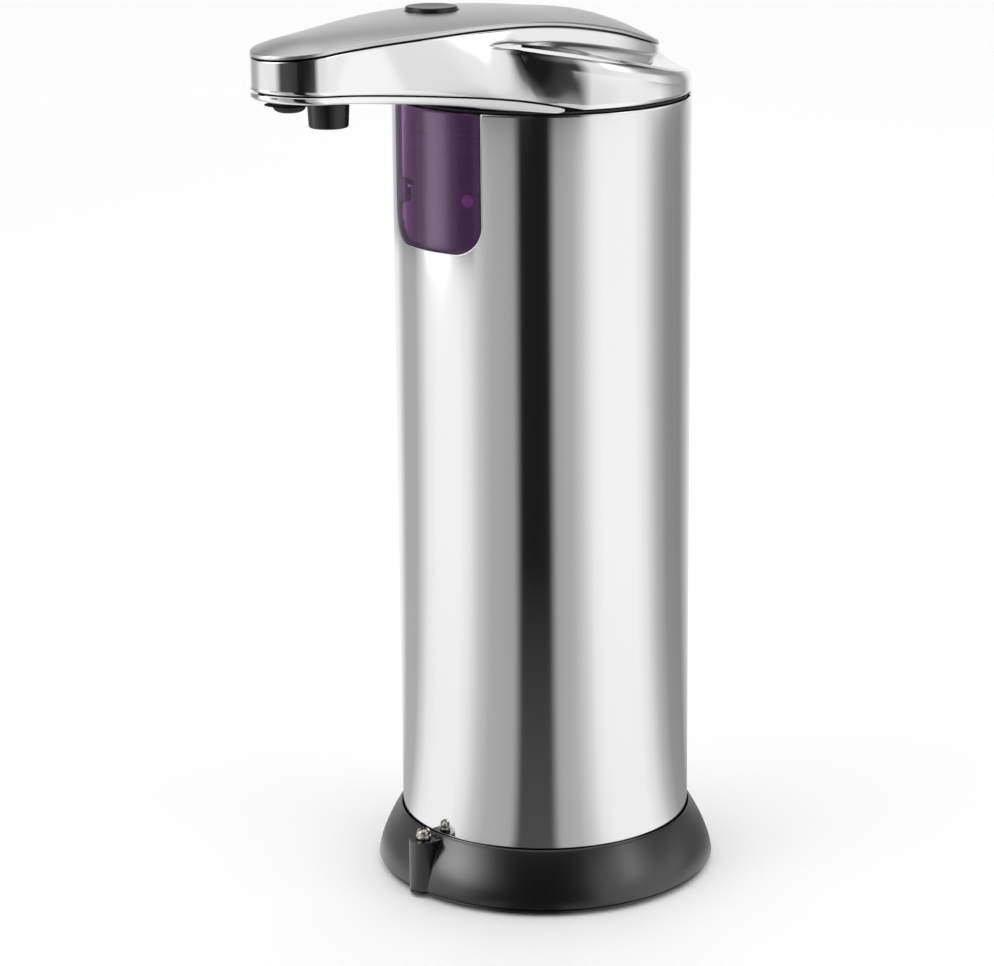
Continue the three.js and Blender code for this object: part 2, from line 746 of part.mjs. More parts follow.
function headChassis() {
  const inner = spigotOuter - spigotWall;
  const groove = sealRadius + pinGap;
  const grooveFloor = spigotOuter + sealProud - sealRadius * 2 - pinGap;
  const shell = solid(revolve([
    [0, 0], [inner, 0], [inner, -spigotDepth], [spigotOuter, -spigotDepth],
    [spigotOuter, -sealDepth - groove], [grooveFloor, -sealDepth - groove],
    [grooveFloor, -sealDepth + groove], [spigotOuter, -sealDepth + groove],
    [spigotOuter, 0], [sleeveRadius - seatGap, 0], [sleeveRadius - seatGap, chassisLipThickness],
    [deckRadius, chassisLipThickness], [deckRadius, deckTop], [0, deckTop],
  ], hiddenSides));
  const posts = [-1, 1].map((side) => standoff(side * standoffSpread / 2, boardPosts[1], deckTop / 2));
  const motorFoot = driveHeight - motorFlat / 2 - seatGap;
  const saddle = block(motorFlat, motorLength / 2, motorFoot - deckTop / 2, 0, motorRear + motorLength / 2,
    deckTop / 2);
  const pumpDepth = pumpRear - pumpFront;
  const seat = block(gearCentres + pumpCavity, pumpDepth, pumpBottom - seatGap - deckTop / 2,
    meshPlace, pumpFront + pumpDepth / 2, deckTop / 2);
  const collarTop = deckTop + collarRise;
  const collarRing = tube(deckRadius - collarWall, sleeveRadius - pinGap, deckTop / 2, collarTop, roundSides);
  const frontZone = block(reach, reach, seamPeak, 0, collarRear - reach / 2, 0);
  const collar = solid(collarRing).intersect(headHollow(seatGap)).intersect(solid(frontZone));
  const screwHoles = headScrewPlaces.map((place) =>
    post(headScrewRadius + pinGap * 2, -overrun, deckTop + overrun, place));
  const dipHole = post(dipRadius + runGap, -overrun, pumpTop, [meshPlace, inletPlace]);
  const pinHoles = [-1, 1].map((side) =>
    post(contactPinRadius + pinGap, -overrun, deckTop + overrun, pinPlace(side), tubeSides));
  const deck = join(shell, ...posts, solid(saddle), solid(seat), collar);
  return cut(deck, ...screwHoles, dipHole, ...pinHoles);
}

function headScrew() {
  const headTop = -seatGap;
  const headFoot = headTop - headScrewHeadHeight;
  const tip = deckTop + headScrewLength;
  return revolve([
    [0, headFoot], [headScrewHeadRadius * 0.7, headFoot],
    [headScrewHeadRadius, (headFoot + headTop) / 2], [headScrewHeadRadius, headTop],
    [headScrewRadius, headTop], [headScrewRadius, tip - overrun / 2], [0, tip - overrun / 4],
  ], tubeSides);
}

// Motor and gear pump
function motorCan() {
  const bossFoot = motorFace - motorBossLength;
  const shape = solid(barrel(motorRadius, motorRear, bossFoot, 0, driveHeight, smallSides * 2));
  const flats = solid(block(motorRadius * 2, motorLength * 2, motorFlat, 0, 0, driveHeight - motorFlat / 2));
  const boss = solid(barrel(motorBossRadius, motorFace - motorBossLength * 2, motorFace, 0, driveHeight));
  const boreRadius = motorShaftRadius + pinGap;
  const bore = solid(barrel(boreRadius, motorRear + motorLength / 2, motorFace + overrun, 0, driveHeight));
  return cut(join(shape.intersect(flats), boss), bore);
}

// Involute gear outline, one tooth pointing along +X when turned by nothing
function gearOutline() {
  const pressure = radians(20);
  const base = gearPitch * Math.cos(pressure);
  const involute = (radius) => {
    const angle = Math.acos(Math.min(base / radius, 1));
    return Math.tan(angle) - angle;
  };
  const atPitch = Math.PI / gearTeeth / 2 - gearBacklash / gearPitch + involute(gearPitch);
  const halfAngle = (radius) => Math.max(atPitch - involute(Math.max(radius, base)), gearTipHalfAngle);
  const root = gearPitch - gearModule * 1.15;
  const radii = [root, base, gearPitch, gearTip];
  const points = [];
  for (let tooth = 0; tooth < gearTeeth; tooth += 1) {
    const middle = (tooth / gearTeeth) * Math.PI * 2;
    const side = (radius, sign) => {
      const angle = middle + sign * halfAngle(radius);
      points.push(new THREE.Vector2(radius * Math.cos(angle), radius * Math.sin(angle)));
    };
    radii.forEach((radius) => side(radius, -1));
    radii.toReversed().forEach((radius) => side(radius, 1));
  }
  return points;
}

function gear(boreRadius, turn) {
  const shape = new THREE.Shape(gearOutline());
  shape.holes.push(new THREE.Path().absarc(0, 0, boreRadius, 0, Math.PI * 2, true));
  const wheel = straight(shape, gearWidth, tubeSides / 2);
  return wheel.rotateZ(turn).rotateX(Math.PI / 2).translate(0, gearStart + gearWidth, driveHeight);
}

function motorShaft() {
  const end = gearStart + gearWidth + runGap + pumpBackWall / 2;
  return barrel(motorShaftRadius, motorRear + motorLength / 2 + seatGap, end, 0, driveHeight);
}

function pumpHousing() {
  const width = gearCentres + pumpCavity * 2 + pumpWall * 2;
  const body = solid(block(width, pumpRear - pumpFront, pumpTop - pumpBottom, meshPlace,
    (pumpFront + pumpRear) / 2, pumpBottom));
  const outletDepth = inletPlace + portRadius + pumpWall - pumpFront - pumpBackWall;
  const outletWidth = pumpOutletOffset + hoseRadius - width / 2 + meshPlace + pumpWall;
  const outletBlock = solid(block(outletWidth, outletDepth, hoseRadius * 2, -pumpOutletOffset - hoseRadius
    + outletWidth / 2, pumpFront + pumpBackWall + outletDepth / 2, pumpOutletHeight - hoseRadius));
  const nipple = solid(barrel(nippleRadius, pumpFront + pumpBackWall - pumpNippleLength,
    pumpFront + pumpBackWall * 2, -pumpOutletOffset, pumpOutletHeight, tubeSides));
  const chambers = [0, -gearCentres].map((x) =>
    solid(barrel(pumpCavity, pumpFront - overrun, pumpRear - pumpBackWall, x, driveHeight, smallSides * 2)));
  const wellEnd = pumpRear - pumpBackWall / 3;
  const shaftWell = solid(barrel(motorShaftRadius + pinGap, pumpFront, wellEnd, 0, driveHeight));
  const pinWell = solid(barrel(motorShaftRadius + pinGap / 2, pumpFront, wellEnd, -gearCentres, driveHeight));
  const inletAt = [meshPlace, inletPlace];
  const inlet = post(portRadius, pumpBottom - overrun, driveHeight, inletAt, tubeSides);
  const socket = post(dipRadius + runGap, pumpBottom - overrun, dipTop + runGap, inletAt);
  const sidePort = portRadius * 0.7;
  const crossLength = pumpOutletOffset + meshPlace;
  const crossPort = solid(new THREE.CylinderGeometry(sidePort, sidePort, crossLength, tubeSides)
    .rotateZ(Math.PI / 2).translate(meshPlace - crossLength / 2, inletPlace, pumpOutletHeight));
  const portStart = pumpFront - pumpNippleLength;
  const portAt = [-pumpOutletOffset, pumpOutletHeight];
  const frontPort = solid(barrel(sidePort, portStart, inletPlace, ...portAt, tubeSides));
  const ports = [inlet, socket, crossPort, frontPort];
  return cut(join(body, outletBlock, nipple), ...chambers, shaftWell, pinWell, ...ports);
}

function pumpCover() {
  const width = gearCentres + pumpCavity * 2 + pumpWall * 2;
  const plate = solid(block(width, pumpCoverThickness, pumpTop - pumpBottom, meshPlace,
    pumpCoverFront + pumpCoverThickness / 2, pumpBottom));
  const shaftHole = solid(barrel(motorShaftRadius + pinGap * 2, pumpCoverFront - overrun, pumpFront + overrun,
    0, driveHeight));
  const pinWell = solid(barrel(motorShaftRadius + pinGap / 2, pumpCoverFront + pumpCoverThickness / 2,
    pumpFront + overrun, -gearCentres, driveHeight));
  return cut(plate, shaftHole, pinWell);
}

function idlerPin() {
  return barrel(motorShaftRadius, pumpCoverFront + pumpCoverThickness / 2 + pinGap,
    pumpRear - pumpBackWall / 3 - pinGap, -gearCentres, driveHeight);
}

// Soap hoses
const nozzleTop = panelTop(nozzlePlace) + seatGap;

function outletHose() {
  const start = pumpFront + pumpBackWall - seatGap;
  const high = nozzleTop + nozzleBarbHeight + hoseRadius + seatGap;
  const underBoard = boardHeight - hoseRadius - runGap;
  return alongCurve(softCurve([
    [-pumpOutletOffset, start, pumpOutletHeight],
    [-pumpOutletOffset, motorRear * 0.35, pumpOutletHeight],
    [-motorRadius * 1.5, motorRear * 0.92, pumpOutletHeight],
    [-standoffSpread * 0.22, boardRear * 1.02, pumpOutletHeight],
    [-standoffSpread * 0.16, boardRear * 1.5, underBoard],
    [0, boardFront, underBoard],
    [0, sensorPlace + sensorRadius, sensorTop + hoseRadius + seatGap],
    [0, sensorPlace - sensorRadius, sensorTop + hoseRadius + seatGap],
    [0, nozzlePlace + hoseRadius * 1.7, high],
    [0, nozzlePlace + hoseRadius * 0.35, high - hoseRadius * 0.5],
    [0, nozzlePlace, high - hoseRadius],
    [0, nozzlePlace, (high - hoseRadius + nozzleTop + seatGap) / 2],
    [0, nozzlePlace, nozzleTop + seatGap],
  ]), hoseRadius, hoseBore, wireSides, smallSides * 3);
}

function dipTube() {
  const foot = tankFloorHeight + tankFloorThickness + dipFloorGap + strainerHeight / 2 - seamHeight;
  return tube(dipBore, dipRadius, foot, dipTop, smallSides);
}

function dipStrainer() {
  const foot = tankFloorHeight + tankFloorThickness + dipFloorGap - seamHeight;
  const top = foot + strainerHeight;
  const cup = solid(disc(strainerRadius, foot, top, smallSides));
  const socket = solid(disc(dipRadius + pinGap, (foot + top) / 2 - pinGap, top + overrun, smallSides));
  const chamber = solid(disc(dipBore, foot + strainerHeight / 5, top, smallSides));
  const slots = [0, 1].map((turn) => solid(block(strainerRadius * 3, strainerSlotWidth,
    strainerHeight / 5, 0, 0, foot - overrun / 4).rotateZ(turn * Math.PI / 2)));
  const drains = solid(block(strainerSlotWidth, strainerSlotWidth, strainerHeight, 0, 0, foot - overrun / 4));
  return cut(cup, socket, chamber, ...slots, drains);
}

// Electronics
function controlBoard() {
  const middle = (boardFront + boardRear) / 2;
  return block(boardHalfWidth * 2, boardRear - boardFront, boardThickness, 0, middle, boardHeight);
}

function tactSwitch() {
  const foot = boardTop + pinGap;
  const body = solid(block(switchSize, switchSize, switchHeight, 0, 0, foot));
  return join(body, solid(disc(switchStemRadius, foot + switchHeight / 2, switchTop, smallSides)));
}

function capacitor() {
  const foot = boardTop + pinGap;
  const top = foot + capacitorHeight;
  return revolve([[0, foot], [capacitorRadius, foot], [capacitorRadius, top - cellEdge],
    [capacitorRadius - cellEdge, top], [0, top]], smallSides);
}

function contactPin() {
  return revolve([[0, -pinGap], [contactPinRadius, pinGap], [contactPinRadius, contactPinLength],
    [0, contactPinLength]], tubeSides);
}

function powerLead(side) {
  const [x, y] = pinPlace(side);
  const low = deckTop + leadRadius * 2.3;
  const end = standoffSpread * (0.2 + side * 0.09);
  return alongCurve(softCurve([
    [x, y - leadRadius * 3, low + leadRadius / 4], [side * pumpOutletOffset * 0.96, y * 0.45, low],
    [side * pumpOutletOffset * 0.96, 0, low], [side * pumpOutletOffset * 0.85, motorRear * 1.15, low],
    [end, boardRear * 1.15, low], [end, boardRear * 1.4, boardHeight - leadRadius * 1.5],
  ]), leadRadius, 0, wireSides, smallSides + wireSides);
}

function motorLead(side) {
  const x = motorRadius * (0.4 + side * 0.25);
  return alongCurve(softCurve([
    [x, motorRear - leadRadius * 1.5, driveHeight], [x, motorRear - leadRadius * 4, driveHeight],
    [x, boardRear + leadRadius, boardHeight - leadRadius * 4],
    [x, boardRear - leadRadius * 6, boardHeight - leadRadius * 1.5],
  ]), leadRadius, 0, wireSides, wireSides);
}

// Steel sleeve with the U-shaped window cut open at its top
function windowPrism(clear) {
  const half = windowWidth / 2 - clear;
  const foot = seamHeight - windowDrop + clear;
  const corner = windowCorner - clear;
  const shape = new THREE.Shape();
  shape.moveTo(half, seamHeight + overrun).lineTo(-half, seamHeight + overrun).lineTo(-half, foot + corner);
  shape.absarc(-half + corner, foot + corner, corner, Math.PI, Math.PI * 1.5);
  shape.absarc(half - corner, foot + corner, corner, -Math.PI / 2, 0);
  return solid(straight(shape, sleeveRadius * 2, cornerSteps).rotateX(Math.PI / 2));
}

function steelSleeve() {
  const foot = baseShelfHeight + seatGap;
  const wall = tube(sleeveRadius - sleeveWall, sleeveRadius, foot, sleeveTop, roundSides);
  return cut(solid(wall), windowPrism(0));
}

function onTankWall(geometry, side, radius) {
  const angle = side * Math.asin(studSpread / 2 / tankInner);
  return geometry.rotateX(Math.PI / 2).translate(0, -radius, 0).rotateZ(angle).translate(0, 0, studHeight);
}

function railGroove(side) {
  const depth = railGrooveDepth + overrun;
  const slot = block(railWidth + seatGap, depth, seamHeight * 2, 0, tankOuter - railGrooveDepth + depth / 2,
    -seamHeight / 2);
  return solid(slot.rotateZ(-side * railAngle));
}

function soapTank() {
  const floorTop = tankFloorHeight + tankFloorThickness;
  const wall = solid(revolve([
    [0, tankFloorHeight], [tankInner, tankFloorHeight], [tankInner, carrierTop + seatGap],
    [tankOuter, carrierTop + seatGap], [tankOuter, tankTop], [tankInner, tankTop],
    [tankInner, floorTop + rimRound], [tankInner - rimRound, floorTop], [0, floorTop],
  ], roundSides));
  const bulge = solid(tube(tankInner, sleeveRadius, tankFloorHeight, sleeveTop, roundSides));
  const pockets = [-1, 1].map((side) => solid(onTankWall(
    disc(studSealRadius + pinGap, -overrun, studPocketDepth, smallSides), side, tankInner)));
  return cut(join(wall, bulge.intersect(windowPrism(seamGap))), ...pockets, railGroove(-1), railGroove(1));
}

function tankStud(side) {
  return onTankWall(disc(studRadius, -studProud, studDepth, smallSides), side, tankInner);
}

function studSeal(side) {
  const low = studDepth - studSealThickness;
  return onTankWall(tube(studRadius + pinGap, studSealRadius, low, studDepth, smallSides), side, tankInner);
}

// Base ring: a flared skirt with a screw post at the front and a gasket groove inside
const gasketFoot = baseShelfHeight + gasketRise;

function baseRing() {
  const flare = new THREE.QuadraticBezierCurve(
    new THREE.Vector2(baseRadius, baseFoot + baseFootRound),
    new THREE.Vector2(baseRadius - baseBulgeInset, baseBulgeHeight),
    new THREE.Vector2(lipRadius, baseLipHeight),
  ).getPoints(flareSteps).map((point) => [point.x, point.y]);
  const socket = sleeveRadius + seatGap;
  const ring = solid(revolve([
    [baseBoreRadius, baseFoot], [baseRadius - baseFootRound, baseFoot], ...flare,
    [socket, baseLipHeight], [socket, baseShelfHeight], [baseBoreRadius, baseShelfHeight],
  ], roundSides));
  const at = [0, postPlace];
  const screwPost = post(postRadius, baseFoot, postTopHeight, at, smallSides * 2);
  const backDepth = -postPlace - socket - runGap;
  const backPlace = postPlace + backDepth / 2;
  const back = solid(block(postRadius * 2, backDepth, postTopHeight - baseFoot, 0, backPlace, baseFoot));
  const bore = post(screwShankRadius + pinGap, 0, postTopHeight + overrun, at);
  const grooveRadius = sleeveRadius + gasketThickness + runGap * 2;
  const grooveTop = gasketFoot + gasketHeight + pinGap;
  const groove = solid(disc(grooveRadius, gasketFoot - pinGap, grooveTop, roundSides));
  return cut(join(ring, screwPost, back), bore, groove);
}

function sleeveGasket() {
  const inner = sleeveRadius + runGap;
  return tube(inner, inner + gasketThickness, gasketFoot, gasketFoot + gasketHeight, roundSides);
}

function lockScrew() {
  const foot = postTopHeight + seatGap;
  const top = foot + screwHeadHeight;
  const tip = coverLift + coverRimHeight / 2;
  const body = solid(revolve([
    [0, tip], [screwShankRadius, tip], [screwShankRadius, foot], [screwHeadRadius, foot],
    [screwHeadRadius, top - screwHeadHeight / 3], [screwHeadRadius * 0.6, top], [0, top],
  ], smallSides));
  const arms = [0, 1].map((turn) => solid(block(screwHeadRadius * 1.3, screwSlotWidth,
    screwSlotDepth * 2, 0, 0, top - screwSlotDepth).rotateZ(turn * Math.PI / 2)));
  return cut(body, ...arms);
}

// Battery cover, which stands on the foot pad
const coverDeck = coverLift + coverDeckThickness;

function batteryCover() {
  const outer = baseBoreRadius - seatGap;
  const groove = coverSealRadius + pinGap;
  const grooveFloor = outer + sealProud - coverSealRadius * 2 - pinGap;
  const recessTop = footPadThickness + pinGap;
  const recessRadius = footPadRadius + seatGap;
  const rimTop = coverLift + coverRimHeight;
  const body = solid(revolve([
    [0, recessTop], [recessRadius, recessTop], [recessRadius, coverLift],
    [coverRimRadius, coverLift], [coverRimRadius, rimTop], [outer, rimTop],
    [outer, coverSealHeight - groove], [grooveFloor, coverSealHeight - groove],
    [grooveFloor, coverSealHeight + groove], [outer, coverSealHeight + groove],
    [outer, coverDeck + upstandHeight], [outer - upstandWall, coverDeck + upstandHeight],
    [outer - upstandWall, coverDeck], [0, coverDeck],
  ], hiddenSides));
  const at = [0, postPlace];
  const ear = post(postRadius, coverLift, rimTop, at, smallSides * 2);
  const holeFoot = coverLift + coverRimHeight / 3;
  const screwHole = post(screwShankRadius + pinGap * 2, holeFoot, baseFoot + overrun, at);
  return cut(join(body, ear), screwHole);
}

// Battery cells and their contacts
const cellPlaces = [45, 135, 225, 315].map((angle) => onCircle(cellRing, angle));

function batteryCell(nubUp) {
  const shell = revolve([[0, 0], [cellRadius - cellEdge, 0], [cellRadius, cellEdge],
    [cellRadius, cellLength - cellNubHeight - cellEdge], [cellRadius - cellEdge, cellLength - cellNubHeight],
    [cellNubRadius, cellLength - cellNubHeight], [cellNubRadius, cellLength], [0, cellLength]], smallSides);
  if (!nubUp) shell.rotateX(Math.PI).translate(0, 0, cellLength);
  return shell;
}

function coneSpring(foot, top) {
  const steps = springTurns * springSteps;
  const points = [];
  for (let i = 0; i <= steps; i += 1) {
    const share = i / steps;
    const radius = THREE.MathUtils.lerp(springFootRadius, springTopRadius, share);
    const angle = share * springTurns * Math.PI * 2;
    const height = THREE.MathUtils.lerp(foot, top, share);
    points.push(new THREE.Vector3(radius * Math.cos(angle), radius * Math.sin(angle), height));
  }
  return solid(alongCurve(new THREE.CatmullRomCurve3(points), springWireRadius, 0, wireSides, steps));
}

function contactPad(place, plateFoot, sprung, reachTo) {
  const pad = post(contactPadRadius + springWireRadius, plateFoot, plateFoot + contactThickness, place);
  if (!sprung) {
    const ends = [Math.min(plateFoot, reachTo), Math.max(plateFoot, reachTo)];
    return join(pad, post(cellNubRadius, ...ends, place));
  }
  const up = reachTo > plateFoot;
  const wire = springWireRadius * (up ? 1 : -1);
  const start = plateFoot + (up ? contactThickness : 0);
  return join(pad, coneSpring(start, reachTo - wire).translate([...place, 0]));
}

function contactBridge(first, second, plateFoot, firstReach, secondReach) {
  const width = Math.hypot(first[0] - second[0], first[1] - second[1]);
  const turn = Math.atan2(second[1] - first[1], second[0] - first[0]);
  const strip = block(width, contactPadRadius, contactThickness, 0, 0, plateFoot).rotateZ(turn)
    .translate((first[0] + second[0]) / 2, (first[1] + second[1]) / 2, 0);
  return join(solid(strip), contactPad(first, plateFoot, true, firstReach),
    contactPad(second, plateFoot, false, secondReach));
}

function coverBridge(springCell, flatCell) {
  const top = cellFootHeight - runGap;
  return contactBridge(cellPlaces[springCell], cellPlaces[flatCell], coverDeck + seatGap, top, top);
}

const topPlateFoot = cellTopHeight + carrierRecess;

function carrierBridge() {
  const low = cellTopHeight + runGap;
  return contactBridge(cellPlaces[1], cellPlaces[2], topPlateFoot, low, low);
}

function terminal(cell, sprung) {
  return contactPad(cellPlaces[cell], topPlateFoot, sprung, cellTopHeight + runGap);
}

function batteryCarrier() {
  const body = solid(disc(carrierRadius, carrierFoot, carrierTop, roundSides));
  const cutFoot = carrierFoot - overrun;
  const coverRoom = solid(disc(baseBoreRadius, cutFoot, coverDeck + upstandHeight + seatGap));
  const boreTop = topPlateFoot + contactThickness + pinGap;
  const boreRadius = cellRadius + seatGap;
  const bores = cellPlaces.map((place) => post(boreRadius, cutFoot, boreTop, place, hiddenSides / 2));
  const [a, b] = [cellPlaces[1], cellPlaces[2]];
  const slotTurn = Math.atan2(b[1] - a[1], b[0] - a[0]);
  const slotDepth = contactThickness + pinGap + carrierRecess;
  const slotWidth = contactPadRadius + seatGap * 2;
  const bridgeSlot = solid(block(cellRing * 2, slotWidth, slotDepth, 0, 0, cellTopHeight)
    .rotateZ(slotTurn).translate((a[0] + b[0]) / 2, (a[1] + b[1]) / 2, 0));
  const core = post(cellRing - cellRadius * 1.7, cutFoot, cellTopHeight - carrierDeck, [0, 0]);
  return cut(body, coverRoom, ...bores, bridgeSlot, core, railGroove(-1), railGroove(1));
}

function powerRail(side) {
  const foot = cellTopHeight;
  const top = tankTop + pinGap + railThickness;
  const inner = tankOuter - railGrooveDepth + (railGrooveDepth - railThickness) / 2;
  const tabInner = spigotOuter + runGap;
  const strip = block(railWidth, railThickness, top - foot, 0, inner + railThickness / 2, foot);
  const tabDepth = inner + railThickness - tabInner;
  const tab = block(railWidth, tabDepth, railThickness, 0, tabInner + tabDepth / 2, tankTop + pinGap);
  return join(solid(strip.rotateZ(-side * railAngle)), solid(tab.rotateZ(-side * railAngle)));
}

// Bodies that move together
function bodyGroup() {
  const group = new THREE.Group();
  group.add(piece('steel_sleeve', steelSleeve(), polishedSteel));
  group.add(piece('soap_tank', soapTank(), purpleClear));
  group.add(piece('tank_stud_left', tankStud(-1), satinSteel));
  group.add(piece('tank_stud_right', tankStud(1), satinSteel));
  group.add(piece('stud_seal_left', studSeal(-1), blackRubber));
  group.add(piece('stud_seal_right', studSeal(1), blackRubber));
  group.add(piece('base_ring', baseRing(), blackPlastic));
  group.add(piece('sleeve_gasket', sleeveGasket(), blackRubber));
  group.add(piece('lock_screw', lockScrew(), satinSteel, [0, postPlace, 0]));
  group.add(piece('battery_carrier', batteryCarrier(), blackPlastic));
  cellPlaces.forEach(([x, y], i) =>
    group.add(piece(`battery_cell_${i + 1}`, batteryCell(i % 2 === 0), cellGrey, [x, y, cellFootHeight])));
  group.add(piece('carrier_bridge', carrierBridge(), nickelSpring));
  group.add(piece('terminal_plus', terminal(0, false), nickelSpring));
  group.add(piece('terminal_minus', terminal(3, true), nickelSpring));
  group.add(piece('power_rail_left', powerRail(-1), nickelSpring));
  group.add(piece('power_rail_right', powerRail(1), nickelSpring));
  return group;
}

function coverGroup() {
  const group = new THREE.Group();
  const sealRing = baseBoreRadius - seatGap + sealProud - coverSealRadius;
  group.add(piece('battery_cover', batteryCover(), blackPlastic));
  group.add(piece('cover_seal', roundRing(sealRing, coverSealRadius, coverSealHeight), blackRubber));
  group.add(piece('foot_pad', disc(footPadRadius, 0, footPadThickness, roundSides), blackRubber));
  group.add(piece('cover_bridge_left', coverBridge(2, 3), nickelSpring));
  group.add(piece('cover_bridge_right', coverBridge(0, 1), nickelSpring));
  return group;
}

function headGroup() {
  const group = new THREE.Group();
  group.position.z = seamHeight;
  group.add(piece('head_shell', headShell(), chromedPlastic));
  group.add(piece('top_plate', topPlate(), satinSteel));
  group.add(piece('arm_rim', armRim(), chromedPlastic));
  group.add(piece('arm_panel', armPanel(), blackPlastic));
  group.add(piece('nozzle', nozzle(), blackRubber, [0, nozzlePlace, 0]));
  group.add(piece('sensor_hood', sensorHood(), blackPlastic, [0, sensorPlace, 0]));
  group.add(piece('ir_emitter', diode(), blackPlastic, [-ledSpread / 2, sensorPlace, 0]));
  group.add(piece('ir_receiver', diode(), blackPlastic, [ledSpread / 2, sensorPlace, 0]));
  group.add(piece('head_chassis', headChassis(), blackPlastic));
  group.add(piece('spigot_seal', roundRing(spigotOuter + sealProud - sealRadius, sealRadius, -sealDepth),
    blackRubber));
  headScrewPlaces.forEach(([x, y], i) =>
    group.add(piece(`head_screw_${i + 1}`, headScrew(), satinSteel, [x, y, 0])));
  addPump(group);
  addElectronics(group);
  group.add(piece('power_button', powerButton(), blackRubber, [0, buttonPlace, 0]));
  return group;
}

function addPump(group) {
  const meshTurn = Math.PI / gearTeeth;
  group.add(piece('motor_can', motorCan(), polishedSteel));
  group.add(piece('motor_shaft', motorShaft(), polishedSteel));
  group.add(piece('pump_housing', pumpHousing(), whiteNylon));
  group.add(piece('pump_cover', pumpCover(), whiteNylon));
  group.add(piece('idler_pin', idlerPin(), polishedSteel));
  group.add(piece('drive_gear', gear(motorShaftRadius + pinGap, Math.PI), whiteNylon));
  group.add(piece('idler_gear', gear(motorShaftRadius + pinGap, meshTurn), whiteNylon, [-gearCentres, 0, 0]));
  group.add(piece('outlet_hose', outletHose(), clearSilicone));
  group.add(piece('dip_tube', dipTube(), clearSilicone, [meshPlace, inletPlace, 0]));
  group.add(piece('dip_strainer', dipStrainer(), whiteNylon, [meshPlace, inletPlace, 0]));
}

function addElectronics(group) {
  const chipSide = chipWidth - boardHalfWidth;
  group.add(piece('control_board', controlBoard(), boardGreen));
  group.add(piece('tact_switch', tactSwitch(), blackPlastic, [0, buttonPlace, 0]));
  group.add(piece('controller_chip', block(chipWidth, chipLength, chipHeight, 0, 0, boardTop + pinGap),
    blackPlastic, [chipSide, buttonPlace, 0]));
  const capacitorAt = [boardHalfWidth * 0.7, boardRear - capacitorRadius * 2, 0];
  group.add(piece('capacitor', capacitor(), cellGrey, capacitorAt));
  [['left', -1], ['right', 1]].forEach(([name, side]) => {
    const [x, y] = pinPlace(side);
    group.add(piece(`contact_pin_${name}`, contactPin(), brassPin, [x, y, 0]));
    group.add(piece(`power_lead_${name}`, powerLead(side), side > 0 ? redWire : blackRubber));
    group.add(piece(`motor_lead_${name}`, motorLead(side), side > 0 ? redWire : blackRubber));
  });
}

const group = new THREE.Group();
group.add(bodyGroup(), coverGroup(), headGroup());

export default group;
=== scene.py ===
"""Automatic soap dispenser: fine pieces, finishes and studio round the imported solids.

All sizes in the classes are millimetres in the frame of the solids. The Workbench turns them into metres.
"""

import json
import logging
import math
from dataclasses import dataclass
from enum import Enum
from typing import Callable, Dict, List, Optional, Sequence, Tuple

import bmesh
import bpy
import numpy as np
from mathutils import Matrix, Vector


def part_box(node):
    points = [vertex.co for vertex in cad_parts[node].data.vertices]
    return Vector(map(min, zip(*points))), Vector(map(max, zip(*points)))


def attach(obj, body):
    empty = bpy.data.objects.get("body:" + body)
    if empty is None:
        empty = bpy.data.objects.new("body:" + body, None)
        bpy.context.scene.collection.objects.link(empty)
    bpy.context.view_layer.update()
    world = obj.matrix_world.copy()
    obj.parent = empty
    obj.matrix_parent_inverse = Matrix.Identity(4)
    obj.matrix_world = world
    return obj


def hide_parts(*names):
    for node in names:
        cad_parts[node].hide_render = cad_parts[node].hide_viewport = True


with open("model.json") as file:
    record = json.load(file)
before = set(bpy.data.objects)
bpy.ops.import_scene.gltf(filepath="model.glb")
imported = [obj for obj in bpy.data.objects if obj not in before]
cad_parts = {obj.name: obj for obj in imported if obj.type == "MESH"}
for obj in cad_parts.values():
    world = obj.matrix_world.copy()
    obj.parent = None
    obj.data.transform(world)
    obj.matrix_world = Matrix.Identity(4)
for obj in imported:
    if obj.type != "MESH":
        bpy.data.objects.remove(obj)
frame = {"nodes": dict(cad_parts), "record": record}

logging.basicConfig(level=logging.INFO, format="%(message)s")
LOG = logging.getLogger("dispenser")

Point2 = Tuple[float, float]
Color = Tuple[float, float, float, float]
Line = Callable[[np.ndarray], np.ndarray]
Piece = bpy.types.Object
Socket = bpy.types.NodeSocket
Ring = np.ndarray

MM = 0.001
ROUND_STEPS = 192
MERGE_DISTANCE = 2e-6
TINY = 1e-6


class Body(Enum):
    """The rigid bodies that pieces ride on."""

    MAIN = "body"
    COVER = "battery_cover"
    HEAD = "head"
    BUTTON = "power_button"


# Small maths


def smooth(value: np.ndarray) -> np.ndarray:
    """Smooth step from 0 to 1."""
    held = np.clip(value, 0.0, 1.0)
    return held * held * (3 - 2 * held)


def mix(start: np.ndarray, end: np.ndarray, share: np.ndarray) -> np.ndarray:
    """Blend between two arrays, with a share for each row where it is an array."""
    share = np.asarray(share, float)
    if share.ndim == 1 and start.ndim == 2:
        share = share[:, None]
    return start + (end - start) * share


def soften(profile: Sequence[Point2], radii: Dict[int, float], steps: int = 5) -> List[Point2]:
    """Round chosen corners of a profile.

    Args:
        profile: Points of radius and height.
        radii: The rounding for each corner, by its index.
        steps: Points in each rounding.

    Returns:
        The profile with its corners rounded.
    """
    out: List[Point2] = []
    for index, point in enumerate(profile):
        radius = radii.get(index, 0.0)
        if radius <= 0:
            out.append(point)
            continue
        corner = Vector(point)
        before = Vector(profile[index - 1])
        after = Vector(profile[(index + 1) % len(profile)])
        start = corner + (before - corner).normalized() * radius
        end = corner + (after - corner).normalized() * radius
        for step in range(steps + 1):
            share = step / steps
            spot = start.lerp(corner, share).lerp(corner.lerp(end, share), share)
            out.append((spot.x, spot.y))
    return out


